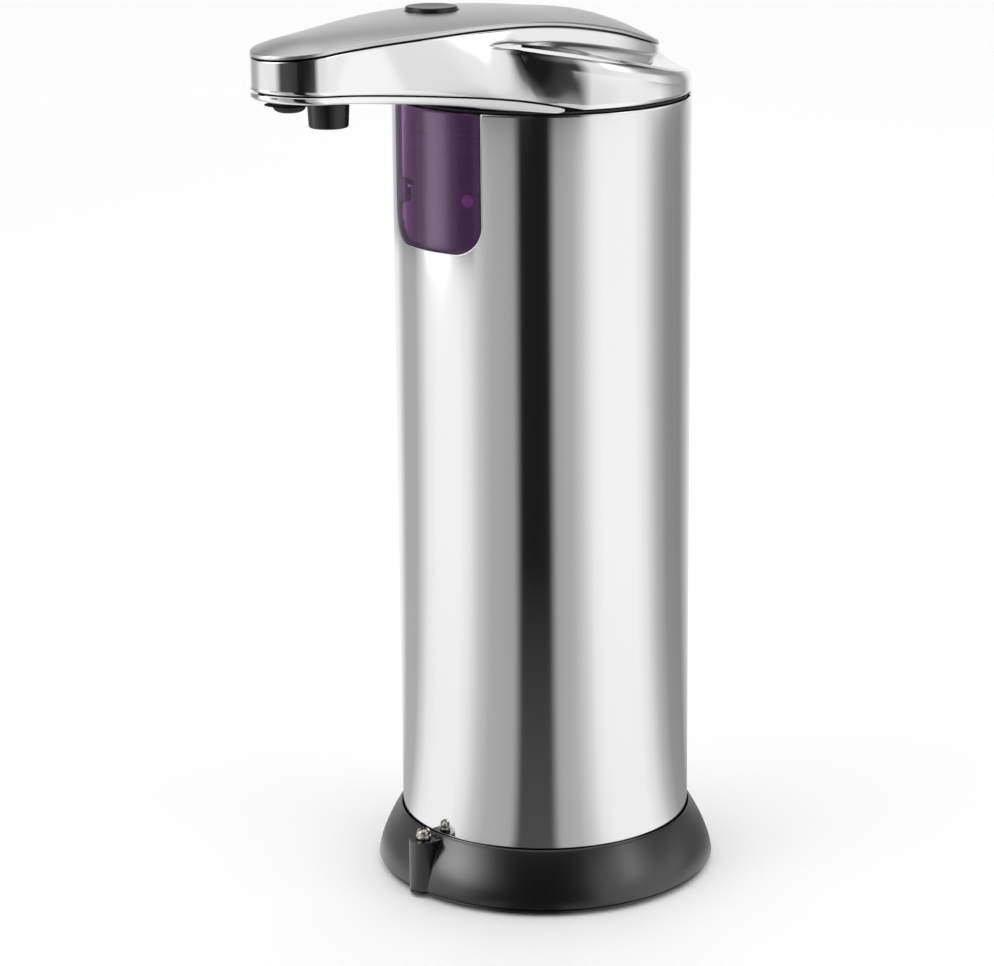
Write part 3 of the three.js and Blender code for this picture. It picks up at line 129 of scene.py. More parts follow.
def height_line(shares: Sequence[Point2], length: float, height: float) -> Line:
    """A smooth line through points that are shares of a length and a height.

    Args:
        shares: Place and height of each point, as shares.
        length: What the places are shares of.
        height: What the heights are shares of.

    Returns:
        A function that gives the height at each place.
    """
    xs = np.array([p[0] for p in shares]) * length
    zs = np.array([p[1] for p in shares]) * height
    before = np.maximum(np.arange(len(xs)) - 1, 0)
    after = np.minimum(np.arange(len(xs)) + 1, len(xs) - 1)
    slopes = (zs[after] - zs[before]) / (xs[after] - xs[before])

    def read(places: np.ndarray) -> np.ndarray:
        """Height at each place."""
        at = np.clip(np.asarray(places, float), xs[0], xs[-1])
        i = np.clip(np.searchsorted(xs, at, side="right") - 1, 0, len(xs) - 2)
        span = xs[i + 1] - xs[i]
        t = (at - xs[i]) / span
        bend = t * (1 - t) * span * ((1 - t) * slopes[i] - t * slopes[i + 1])
        return zs[i] + (zs[i + 1] - zs[i]) * t * t * (3 - 2 * t) + bend

    return read


def bezier(corners: Sequence[Point2], shares: np.ndarray) -> np.ndarray:
    """Points of a cubic or quadratic curve at the given shares."""
    points = np.array(corners, float)[None].repeat(len(shares), 0)
    t = shares[:, None, None]
    while points.shape[1] > 1:
        points = points[:, :-1] * (1 - t) + points[:, 1:] * t
    return points[:, 0]


def circle_arc(radius: float, start: float, end: float, steps: int, centre: Point2 = (0, 0)) -> np.ndarray:
    """Points of an arc, its angles in degrees counted from straight ahead towards +X."""
    angles = np.radians(np.linspace(start, end, steps + 1))
    return np.stack([centre[0] + radius * np.sin(angles), centre[1] - radius * np.cos(angles)], 1)


def respaced(points: np.ndarray, steps: int) -> np.ndarray:
    """The same line with equal steps along it."""
    along = np.concatenate([[0], np.cumsum(np.linalg.norm(np.diff(points, axis=0), axis=1))])
    wanted = np.linspace(0, along[-1], steps + 1)
    return np.stack([np.interp(wanted, along, points[:, k]) for k in range(points.shape[1])], 1)


def inset(half: np.ndarray, distance: float) -> np.ndarray:
    """A half outline moved inwards, square to itself."""
    mirrored = np.array([-1.0, 1.0])
    padded = np.concatenate([[half[1] * mirrored], half, [half[-2] * mirrored]])
    along = padded[2:] - padded[:-2]
    along /= np.linalg.norm(along, axis=1)[:, None]
    moved = np.stack([half[:, 0] - along[:, 1] * distance, half[:, 1] + along[:, 0] * distance], 1)
    moved[:, 0] = np.maximum(moved[:, 0], 0)
    return moved


def raised(half: np.ndarray, heights: np.ndarray) -> np.ndarray:
    """A flat half outline lifted to the given heights."""
    return np.column_stack([half[:, :2], np.broadcast_to(heights, len(half))])


def whole(half: np.ndarray) -> np.ndarray:
    """A half ring with its mirror image, as one closed ring."""
    left = half[1:-1][::-1] * np.array([-1.0, 1.0, 1.0])
    right = half.copy()
    right[[0, -1], 0] = 0
    return np.concatenate([right, left])


def lifted(half: np.ndarray, rise: float) -> Ring:
    """A half ring with its mirror image, as one closed ring that is moved up."""
    ring = whole(half)
    ring[:, 2] += rise
    return ring


# Workbench


class Workbench:
    """Makes and finishes meshes with the tools of a hand modeller."""

    @staticmethod
    def clear() -> None:
        """Leave edit mode and deselect everything."""
        if bpy.context.object and bpy.context.object.mode != "OBJECT":
            bpy.ops.object.mode_set(mode="OBJECT")
        bpy.ops.object.select_all(action="DESELECT")

    @classmethod
    def pick(cls, obj: Piece) -> None:
        """Make one object the only selected and active one."""
        cls.clear()
        obj.select_set(True)
        bpy.context.view_layer.objects.active = obj

    @classmethod
    def named(cls, name: str) -> Piece:
        """Name the active object and its mesh, and return it."""
        obj = bpy.context.object
        obj.name = name
        obj.data.name = name
        return obj

    @classmethod
    def settle(cls, obj: Piece) -> Piece:
        """Put the object's place into its mesh."""
        cls.pick(obj)
        bpy.ops.object.transform_apply(location=True, rotation=True, scale=True)
        return obj

    @classmethod
    def lathe(
        cls, name: str, profile: Sequence[Point2], centre: Point2 = (0, 0), steps: int = ROUND_STEPS
    ) -> Piece:
        """Spin a profile round an upright axis.

        Args:
            name: The new object's name.
            profile: Points of radius and height. One that starts and ends off the axis is closed.
            centre: Where the axis stands.
            steps: Facets round the axis.

        Returns:
            The new object.
        """
        cls.clear()
        bpy.ops.mesh.primitive_plane_add(size=2 * MM, location=(0, 0, 0))
        obj = cls.named(name)
        bpy.ops.object.mode_set(mode="EDIT")
        bpy.ops.mesh.select_all(action="SELECT")
        bpy.ops.mesh.merge(type="CENTER")
        points = [Vector((centre[0] + r, centre[1], z)) * MM for r, z in profile]
        if profile[0][0] > TINY or profile[-1][0] > TINY:
            points.append(points[0])
        bpy.ops.transform.translate(value=points[0])
        for start, end in zip(points, points[1:]):
            bpy.ops.mesh.extrude_region_move(TRANSFORM_OT_translate={"value": end - start})
        bpy.ops.mesh.select_all(action="SELECT")
        axis_foot = (centre[0] * MM, centre[1] * MM, 0)
        bpy.ops.mesh.spin(steps=steps, angle=math.tau, center=axis_foot, axis=(0, 0, 1))
        bpy.ops.mesh.select_all(action="SELECT")
        bpy.ops.mesh.remove_doubles(threshold=MERGE_DISTANCE)
        bpy.ops.mesh.normals_make_consistent(inside=False)
        bpy.ops.object.mode_set(mode="OBJECT")
        return obj

    @classmethod
    def skin(cls, name: str, rings: Sequence[Ring], closed: bool) -> Piece:
        """Skin closed rings, set by numbers because no operator draws a shell that curves both ways.

        Args:
            name: The new object's name.
            rings: Rings of equal length, in order.
            closed: True where the last ring joins the first, False where each end is capped.

        Returns:
            The new object.
        """
        count, total = len(rings[0]), len(rings)
        coords = np.concatenate(rings) * MM
        faces: List[Tuple[int, ...]] = []
        for ring in range(total if closed else total - 1):
            low, high = ring * count, (ring + 1) % total * count
            for i in range(count):
                j = (i + 1) % count
                faces.append((low + i, low + j, high + j, high + i))
        if not closed:
            last = (total - 1) * count
            faces.append(tuple(range(count))[::-1])
            faces.append(tuple(range(last, last + count)))
        mesh = bpy.data.meshes.new(name)
        mesh.from_pydata(coords.tolist(), [], faces)
        obj = bpy.data.objects.new(name, mesh)
        bpy.context.scene.collection.objects.link(obj)
        cls.pick(obj)
        bpy.ops.object.mode_set(mode="EDIT")
        bpy.ops.mesh.select_all(action="SELECT")
        bpy.ops.mesh.remove_doubles(threshold=MERGE_DISTANCE)
        bpy.ops.mesh.normals_make_consistent(inside=False)
        bpy.ops.object.mode_set(mode="OBJECT")
        return obj

    @classmethod
    def rod(
        cls, name: str, radius: float, span: Point2, centre: Point2 = (0, 0), steps: int = ROUND_STEPS
    ) -> Piece:
        """A plain upright cylinder from one height to another."""
        low, high = span
        return cls.lathe(name, [(0, low), (radius, low), (radius, high), (0, high)], centre, steps)

    @classmethod
    def block(cls, name: str, size: Sequence[float], middle: Sequence[float]) -> Piece:
        """A block by its size and middle."""
        cls.clear()
        bpy.ops.mesh.primitive_cube_add(size=MM, location=[v * MM for v in middle])
        obj = cls.named(name)
        obj.scale = size
        return cls.settle(obj)

    @classmethod
    def modify(cls, obj: Piece, kind: str, **settings: object) -> Piece:
        """Add a modifier with its settings and apply it."""
        cls.pick(obj)
        modifier = obj.modifiers.new(kind.title(), kind)
        for key, value in settings.items():
            setattr(modifier, key, value)
        bpy.ops.object.modifier_apply(modifier=modifier.name)
        return obj

    @classmethod
    def bevel(cls, obj: Piece, width: float, segments: int) -> Piece:
        """Round the edges where faces meet at more than 50 degrees."""
        limit = math.radians(50)
        return cls.modify(
            obj, "BEVEL", width=width * MM, segments=segments, limit_method="ANGLE", angle_limit=limit
        )

    @classmethod
    def thicken(cls, obj: Piece, thickness: float) -> Piece:
        """Give a sheet its thickness, inwards."""
        return cls.modify(obj, "SOLIDIFY", thickness=thickness * MM, offset=-1.0, use_even_offset=True)

    @classmethod
    def carve(cls, obj: Piece, tool: Piece, how: str = "DIFFERENCE") -> Piece:
        """Cut or join one object with another, which is used up."""
        cls.modify(obj, "BOOLEAN", object=tool, operation=how, solver="EXACT")
        bpy.data.objects.remove(tool)
        return obj

    @classmethod
    def shade(cls, obj: Piece, degrees: float) -> Piece:
        """Shade smoothly except across sharp edges."""
        cls.pick(obj)
        bpy.ops.object.shade_smooth_by_angle(angle=math.radians(degrees))
        return obj

    @staticmethod
    def turn(obj: Piece, degrees: float, centre: Point2) -> Piece:
        """Turn a mesh about an upright axis."""
        place = Matrix.Translation(Vector((*centre, 0)) * MM)
        obj.data.transform(place @ Matrix.Rotation(math.radians(degrees), 4, "Z") @ place.inverted())
        return obj


# Materials


class Nodes:
    """A short way to write a material's nodes and links."""

    def __init__(self, tree: bpy.types.NodeTree) -> None:
        """Keep the node tree that is written to."""
        self.tree = tree

    def plug(self, socket: Socket, value: object) -> None:
        """Link an output to a socket, or set the socket's value."""
        if isinstance(value, Socket):
            self.tree.links.new(value, socket)
        else:
            socket.default_value = value

    def add(
        self, kind: str, inputs: Optional[Dict[object, object]] = None, **settings: object
    ) -> bpy.types.Node:
        """Add a node, and link or set its inputs.

        Args:
            kind: Blender's name of the node type.
            inputs: A value or an output socket for each input, by name or number.
            settings: The node's own options.

        Returns:
            The new node.
        """
        node = self.tree.nodes.new(kind)
        for key, value in settings.items():
            setattr(node, key, value)
        for key, value in (inputs or {}).items():
            self.plug(node.inputs[key], value)
        return node

    def maths(self, operation: str, first: object, second: object = 0.0) -> Socket:
        """A maths node's output."""
        return self.add("ShaderNodeMath", {0: first, 1: second}, operation=operation).outputs[0]

    def vectors(self, operation: str, first: object, second: object) -> bpy.types.Node:
        """A vector maths node."""
        return self.add("ShaderNodeVectorMath", {0: first, 1: second}, operation=operation)

    def scaled(self, color: object, scale: object) -> Socket:
        """A colour made brighter or darker."""
        node = self.add("ShaderNodeVectorMath", {0: color, "Scale": scale}, operation="SCALE")
        return node.outputs[0]

    def noise(self, place: Socket, scale: object, detail: float) -> Socket:
        """A noise texture's value."""
        inputs = {"Vector": place, "Scale": scale, "Detail": detail}
        return self.add("ShaderNodeTexNoise", inputs).outputs[0]

    def swing(self, value: Socket, most: object) -> Socket:
        """How far a value from 0 to 1 is from its middle, times the most that it may be."""
        return self.maths("MULTIPLY", self.maths("SUBTRACT", value, 0.5), most)

    def blend(self, share: object, first: object, second: object) -> Socket:
        """A colour between two others."""
        return self.add("ShaderNodeMix", {0: share, 6: first, 7: second}, data_type="RGBA").outputs[2]


def grey(value: float) -> Color:
    """A grey colour."""
    return (value, value, value, 1.0)


def new_group(name: str, *inputs: str) -> Tuple[Nodes, bpy.types.Node]:
    """Start a shader node group that puts out a colour, a roughness and a normal.

    Args:
        name: The group's name.
        inputs: The names of what it takes besides a colour and a roughness.

    Returns:
        A writer for the group's nodes, and the node that its inputs come from.
    """
    kinds = {"Color": "NodeSocketColor", "Stretch": "NodeSocketVector", "Normal": "NodeSocketVector"}
    group = bpy.data.node_groups.new(name, "ShaderNodeTree")
    for way, labels in (
        ("INPUT", ("Color", "Roughness", *inputs)),
        ("OUTPUT", ("Color", "Roughness", "Normal")),
    ):
        for label in labels:
            kind = kinds.get(label, "NodeSocketFloat")
            group.interface.new_socket(label, in_out=way, socket_type=kind)
    nodes = Nodes(group)
    return nodes, nodes.add("NodeGroupInput")


class Patterns:
    """The shader node groups that the finishes share."""

    GRAIN_HEIGHT = 0.00005
    GRAIN_CLOUDS = 60.0
    ROUGHNESS_SWING = 0.6
    STREAK_HEIGHT = 0.00002
    STREAK_CLOUDS = 25.0
    STREAK_SHADE = 0.94

    def __init__(self) -> None:
        """Build each group once."""
        self.grain = self._grain()
        self.streaks = self._streaks()

    @staticmethod
    def _close(nodes: Nodes, color: Socket, rough: Socket, bump: Dict[str, object]) -> bpy.types.NodeTree:
        """Plug what a group works out into its outputs, the normal from the bump's inputs."""
        normal = nodes.add("ShaderNodeBump", bump).outputs[0]
        nodes.add("NodeGroupOutput", {"Color": color, "Roughness": rough, "Normal": normal})
        return nodes.tree

    def _grain(self) -> bpy.types.NodeTree:
        """Fine moulded grain over slow cloudy variation."""
        nodes, entry = new_group("fine_grain", "Grain Scale", "Grain Depth", "Variation")
        own = entry.outputs
        place = nodes.add("ShaderNodeTexCoord").outputs["Object"]
        fine = nodes.noise(place, own["Grain Scale"], 3.0)
        swing = nodes.swing(nodes.noise(place, self.GRAIN_CLOUDS, 4.0), own["Variation"])
        color = nodes.scaled(own["Color"], nodes.maths("ADD", swing, 1.0))
        rough = nodes.maths("ADD", own["Roughness"], nodes.maths("MULTIPLY", swing, self.ROUGHNESS_SWING))
        bump = {"Height": fine, "Strength": own["Grain Depth"], "Distance": self.GRAIN_HEIGHT}
        return self._close(nodes, color, rough, bump)

    def _streaks(self) -> bpy.types.NodeTree:
        """Fine lines left by brushing or polishing, drawn out along a chosen direction."""
        nodes, entry = new_group("polish_streaks", "Stretch", "Depth", "Variation")
        own = entry.outputs
        place = nodes.add("ShaderNodeTexCoord").outputs["Object"]
        drawn = nodes.vectors("MULTIPLY", place, own["Stretch"]).outputs[0]
        lines = nodes.noise(drawn, 1.0, 5.0)
        clouds = nodes.noise(place, self.STREAK_CLOUDS, 3.0)
        both = nodes.maths("MULTIPLY", nodes.maths("ADD", lines, clouds), 0.5)
        rough = nodes.maths("ADD", own["Roughness"], nodes.swing(both, own["Variation"]))
        color = nodes.blend(both, nodes.scaled(own["Color"], self.STREAK_SHADE), own["Color"])
        bump = {"Height": lines, "Strength": own["Depth"], "Distance": self.STREAK_HEIGHT}
        return self._close(nodes, color, rough, bump)


@dataclass(frozen=True)
class Finish:
    """What every finish has: its name, its colour and its roughness."""

    name: str
    color: Color
    roughness: float

    def make(
        self, group: bpy.types.NodeTree, inputs: Dict[str, object], settings: Dict[str, object]
    ) -> bpy.types.Material:
        """Make the material from a pattern group that feeds the shader.

        Args:
            group: The pattern's group.
            inputs: What the group takes besides the colour and the roughness, by name.
            settings: The shader's own values, by name.

        Returns:
            The material.
        """
        material = bpy.data.materials.new(self.name)
        material.use_nodes = True
        material.diffuse_color = self.color
        shader = material.node_tree.nodes["Principled BSDF"]
        for label, value in {"Base Color": self.color, **settings}.items():
            shader.inputs[label].default_value = value
        nodes = Nodes(material.node_tree)
        values = {"Color": self.color, "Roughness": self.roughness, **inputs}
        pattern = nodes.add("ShaderNodeGroup", values, node_tree=group)
        for label, source in (("Base Color", "Color"), ("Roughness", "Roughness"), ("Normal", "Normal")):
            nodes.plug(shader.inputs[label], pattern.outputs[source])
        return material


@dataclass(frozen=True)
class MetalFinish(Finish):
    """Metal or chrome with fine lines from its polishing or brushing."""

    stretch: Tuple[float, float, float]
    depth: float
    variation: float

    def build(self, patterns: Patterns) -> bpy.types.Material:
        """Make the material."""
        lines = {"Stretch": self.stretch, "Depth": self.depth, "Variation": self.variation}
        return self.make(patterns.streaks, lines, {"Metallic": 1.0})


@dataclass(frozen=True)
class PlasticFinish(Finish):
    """Moulded plastic, rubber or paint with a fine grain."""

    grain_scale: float
    grain_depth: float
    variation: float
    coat: float = 0.0
    metallic: float = 0.0
    specular: float = 0.5
    coat_roughness: float = 0.12

    def build(self, patterns: Patterns) -> bpy.types.Material:
        """Make the material."""
        grain = {
            "Grain Scale": self.grain_scale,
            "Grain Depth": self.grain_depth,
            "Variation": self.variation,
        }
        settings = {
            "Coat Weight": self.coat,
            "Coat Roughness": self.coat_roughness,
            "Metallic": self.metallic,
            "Specular IOR Level": self.specular,
        }
        return self.make(patterns.grain, grain, settings)


@dataclass(frozen=True)
class ClearFinish(Finish):
    """See-through tinted plastic, with a tint of its own for what it mirrors."""

    clearness: float
    specular: float = 0.5
    sheen_tint: Color = (1.0, 1.0, 1.0, 1.0)
    bending: float = 1.49
    wave_scale: float = 120.0
    wave_depth: float = 0.004
    variation: float = 0.1

    def build(self, patterns: Patterns) -> bpy.types.Material:
        """Make the material."""
        waves = {
            "Grain Scale": self.wave_scale,
            "Grain Depth": self.wave_depth,
            "Variation": self.variation,
        }
        settings = {
            "Transmission Weight": self.clearness,
            "IOR": self.bending,
            "Specular IOR Level": self.specular,
            "Specular Tint": self.sheen_tint,
        }
        return self.make(patterns.grain, waves, settings)


class Palette:
    """Every finish of the dispenser, each made into a material of its name."""

    SHARED_SLOTS: Dict[str, str] = {"base_plastic": "black_plastic"}
    FINISHES: Tuple[Finish, ...] = (
        MetalFinish("polished_steel", (0.87, 0.87, 0.88, 1), 0.09, (900, 900, 4), 0.10, 0.06),
        MetalFinish("chrome_shell", (0.90, 0.90, 0.91, 1), 0.06, (40, 40, 40), 0.01, 0.02),
        MetalFinish("satin_steel", (0.68, 0.68, 0.69, 1), 0.34, (1800, 60, 1800), 0.12, 0.10),
        ClearFinish("purple_clear", (0.38, 0.17, 0.43, 1), 0.04, 0.94, 1.0, (0.92, 0.62, 1.0, 1)),
        PlasticFinish("black_plastic", (0.006, 0.006, 0.007, 1), 0.30, 2600.0, 0.10, 0.2),
        PlasticFinish("base_plastic", (0.004, 0.004, 0.005, 1), 0.24, 2600.0, 0.05, 0.15, specular=1.0),
        PlasticFinish("black_rubber", (0.008, 0.008, 0.008, 1), 0.62, 1500.0, 0.2, 0.2),
        PlasticFinish("cell_jacket", (0.045, 0.05, 0.06, 1), 0.32, 900.0, 0.03, 0.1, 0.3, 0.3),
        MetalFinish("nickel_spring", (0.55, 0.52, 0.47, 1), 0.25, (300, 300, 300), 0.05, 0.1),
        MetalFinish("brass_pin", (0.62, 0.42, 0.16, 1), 0.25, (300, 300, 300), 0.05, 0.1),
        PlasticFinish("white_nylon", (0.72, 0.71, 0.67, 1), 0.45, 1800.0, 0.1, 0.06),
        ClearFinish("clear_silicone", (0.86, 0.88, 0.88, 1), 0.25, 0.7),
        PlasticFinish("board_green", (0.02, 0.12, 0.05, 1), 0.4, 700.0, 0.15, 0.35, 0.2),
        PlasticFinish("lead_black", (0.01, 0.01, 0.01, 1), 0.45, 1200.0, 0.1, 0.1),
        PlasticFinish("lead_red", (0.28, 0.015, 0.01, 1), 0.45, 1200.0, 0.1, 0.1),
    )

    def __init__(self) -> None:
        """Build every material."""
        patterns = Patterns()
        self.made: Dict[str, bpy.types.Material] = {f.name: f.build(patterns) for f in self.FINISHES}

    def dress(self, obj: Piece, node: str, body: Body, smooth_to: float, *names: str) -> Piece:
        """Shade and dress a finished piece, hide the solid that it replaces and hang it on the body that it
        rides on.

        Args:
            obj: The piece.
            node: The solid that it replaces.
            body: The body that it rides on.
            smooth_to: Faces that meet at more than this many degrees keep a sharp edge.
            names: Its finishes in order. The first one is on every face that is not given another.

        Returns:
            The piece.
        """
        Workbench.shade(obj, smooth_to)
        obj.data.materials.clear()
        for name in names:
            obj.data.materials.append(self.made[name])
        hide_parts(node)
        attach(obj, body.value)
        LOG.info("%s: %d faces", node, len(obj.data.polygons))
        return obj

    def dress_solids(self, record: Dict[str, object], nodes: Dict[str, Piece]) -> None:
        """Give each carried solid the finish of its slot in the record."""
        for entry in record.get("materials", []):
            for name in entry.get("nodes", []):
                if name in nodes:
                    for holder in nodes[name].material_slots:
                        holder.material = self.made[entry["slot"]]


# Lines of the head


@dataclass
class HeadLines:
    """The outlines and height lines of the head, as the solids have them."""

    seam: float = 178.4
    reach: float = 76.5
    tip_radius: float = 10.8
    disc_radius: float = 33.0
    join_angle: float = 64.8
    leaf_half_width: float = 19.0
    leaf_widest: float = -14.0
    leaf_rear: float = 30.5
    tail_half_width: float = 12.0
    tail_pull: float = 31.0
    leaf_spread: float = 1.6
    leaf_run: float = 13.8
    leaf_pull: float = 28.0
    flank_spread: float = 0.8
    flank_run: float = 13.7
    join_pull: float = 20.0
    foot_inset: float = 0.8
    shell_foot: float = 0.6
    seam_rise: float = 17.6
    foot_rise: float = 14.3
    under_lift: float = 6.7
    lip_depth: float = 1.7
    dome: float = 2.0
    dome_rise: float = 1.4
    scoop_share: float = 0.76
    scoop_join: float = 60.0
    nose_steps: int = 20
    arm_steps: int = 60
    disc_steps: int = 150
    fine_steps: int = 400
    ring_steps: int = 600
    wall_share: float = 0.79
    leaf_share: float = 0.84

    def __post_init__(self) -> None:
        """Draw the lines and half outlines."""
        self._draw_heights()
        nose_y = self.tip_radius - self.reach
        nose = circle_arc(self.tip_radius, 0, 90, self.nose_steps, (0, nose_y))
        wall_arm, wall_rest = self._divide(self._flank(nose_y), self.wall_share)
        leaf_arm, leaf_rest = self._divide(self._leaf_side(nose_y), self.leaf_share)
        ring = circle_arc(self.disc_radius, self.join_angle, 180, self.ring_steps)
        half, widest, rear = self.leaf_half_width, self.leaf_widest, self.leaf_rear
        tail = [(half, widest), (half, widest + self.tail_pull), (self.tail_half_width, rear), (0, rear)]
        fine = np.linspace(0, 1, self.fine_steps)
        wall_disc = respaced(np.concatenate([wall_rest, ring[1:]]), self.disc_steps)
        leaf_disc = respaced(np.concatenate([leaf_rest, bezier(tail, fine)[1:]]), self.disc_steps)
        self.arm_count = self.nose_steps + self.arm_steps
        self.wall = np.concatenate([nose, wall_arm[1:], wall_disc[1:]])
        self.leaf = np.concatenate([nose, leaf_arm[1:], leaf_disc[1:]])
        self.scoop_start = mix(wall_arm[-1], leaf_arm[-1], self.scoop_share)

    def _draw_heights(self) -> None:
        """The height lines along the head, most of them as shares of the arm's reach."""
        reach = self.reach
        seam = [
            (-1, 0.795), (-0.758, 0.903), (-0.549, 0.972), (-0.418, 1), (-0.261, 0.994), (-0.111, 0.9375),
            (0.078, 0.79), (0.23, 0.619), (0.399, 0.432),
        ]
        foot = [(-0.335, 1), (-0.179, 0.951), (0, 0.804), (0.222, 0.573), (0.399, 0.455)]
        rim = [(-0.776, 1), (-0.44, 0.853), (-0.07, 0.664), (0.42, 0.434), (1, 0.28)]
        under = [(-1, 1), (-0.797, 0.88), (-0.549, 0.657), (-0.353, 0.403), (-0.184, 0)]
        lip = [(-1, 0.85), (-0.549, 1), (-0.353, 1.2), (-0.184, 0.5)]
        dome = [(-1, 0), (-0.418, 0), (-0.078, 0.25), (0.12, 1), (0.399, 1)]
        self.seam_line = height_line(seam, reach, self.seam_rise)
        self.foot_line = height_line(foot, reach, self.foot_rise)
        self.rim_line = height_line(rim, self.disc_radius, self.foot_rise)
        self.under_rise = height_line(under, reach, self.under_lift)
        self.lip_line = height_line(lip, reach, self.lip_depth)
        self.rise_line = height_line(dome, reach, self.dome_rise)

    def _flank(self, nose_y: float) -> List[Point2]:
        """The curve of the arm's side, from the nose to where it meets the disc in line with it."""
        join = circle_arc(self.disc_radius, self.join_angle, self.join_angle, 1)[0]
        lean, pull = math.radians(self.join_angle), self.join_pull
        bend = (join[0] - math.cos(lean) * pull, join[1] - math.sin(lean) * pull)
        tip = self.tip_radius
        return [(tip, nose_y), (tip + self.flank_spread, nose_y + self.flank_run), bend, tuple(join)]

    def _leaf_side(self, nose_y: float) -> List[Point2]:
        """The curve of the leaf's side, from the nose to its widest place."""
        tip, half, widest = self.tip_radius, self.leaf_half_width, self.leaf_widest
        bend = (tip + self.leaf_spread, nose_y + self.leaf_run)
        return [(tip, nose_y), bend, (half, widest - self.leaf_pull), (half, widest)]

    def _divide(self, curve: Sequence[Point2], share: float) -> Tuple[np.ndarray, np.ndarray]:
        """A curve's points up to a share of it, and the fine points of the rest."""
        fine = np.linspace(0, 1, self.fine_steps)
        arm = np.linspace(0, 1, self.arm_steps + 1)
        return bezier(curve, arm * share), bezier(curve, share + fine * (1 - share))

    def underside(self, places: np.ndarray) -> np.ndarray:
        """Height of the wall foot."""
        return self.shell_foot + self.under_rise(places)

    def rim_disc(self, radius: float, drawn_in: float = 0.0) -> np.ndarray:
        """The rim from the scoop start round to the rear, at a radius."""
        start = self.scoop_start - np.array([drawn_in, 0])
        first = math.degrees(math.atan2(start[0], -start[1]))
        angles = np.linspace(first, 180, self.ring_steps + 100)
        settled = smooth((angles - first) / (self.scoop_join - first))
        reach = radius + (float(np.hypot(*start)) - radius) * (1 - settled)
        turned = np.radians(angles)
        return respaced(np.stack([reach * np.sin(turned), -reach * np.cos(turned)], 1), self.disc_steps)

    def plate_height(self, points: np.ndarray, edge: np.ndarray) -> np.ndarray:
        """Height of the plate's dome above its edge line, by the distance from the edge to the spine.

        Args:
            points: Places on the plate.
            edge: The plate's half outline.

        Returns:
            The height at each place above the seam.
        """
        front, rear = self.tip_radius - self.reach, self.leaf_rear - self.leaf_half_width
        x, y = np.abs(points[:, 0]), points[:, 1]
        spine = np.clip(y, front, rear)
        side = edge[(edge[:, 1] >= front) & (edge[:, 1] <= rear)]
        ratio = x / np.maximum(np.interp(y, side[:, 1], side[:, 0]), TINY)
        edge_y = y.copy()
        for zone, part, middle in (
            (y < front, edge[edge[:, 1] <= front], front),
            (y > rear, edge[edge[:, 1] >= rear], rear),
        ):
            angles = np.arctan2(part[:, 0], np.abs(part[:, 1] - middle))
            order = np.argsort(angles)
            look = np.arctan2(x[zone], np.abs(y[zone] - middle))
            far = np.interp(look, angles[order], np.hypot(part[:, 0], part[:, 1] - middle)[order])
            ratio[zone] = np.hypot(x[zone], y[zone] - middle) / far
            edge_y[zone] = middle + np.sign(y[zone] - middle) * far * np.cos(look)
        share = 1 - np.clip(ratio, 0, 1)
        base = self.seam_line(edge_y) + (self.seam_line(spine) - self.seam_line(edge_y)) * share
        return base + (self.dome + self.rise_line(spine)) * (1 - (1 - share) ** 2)


# Sub-assemblies


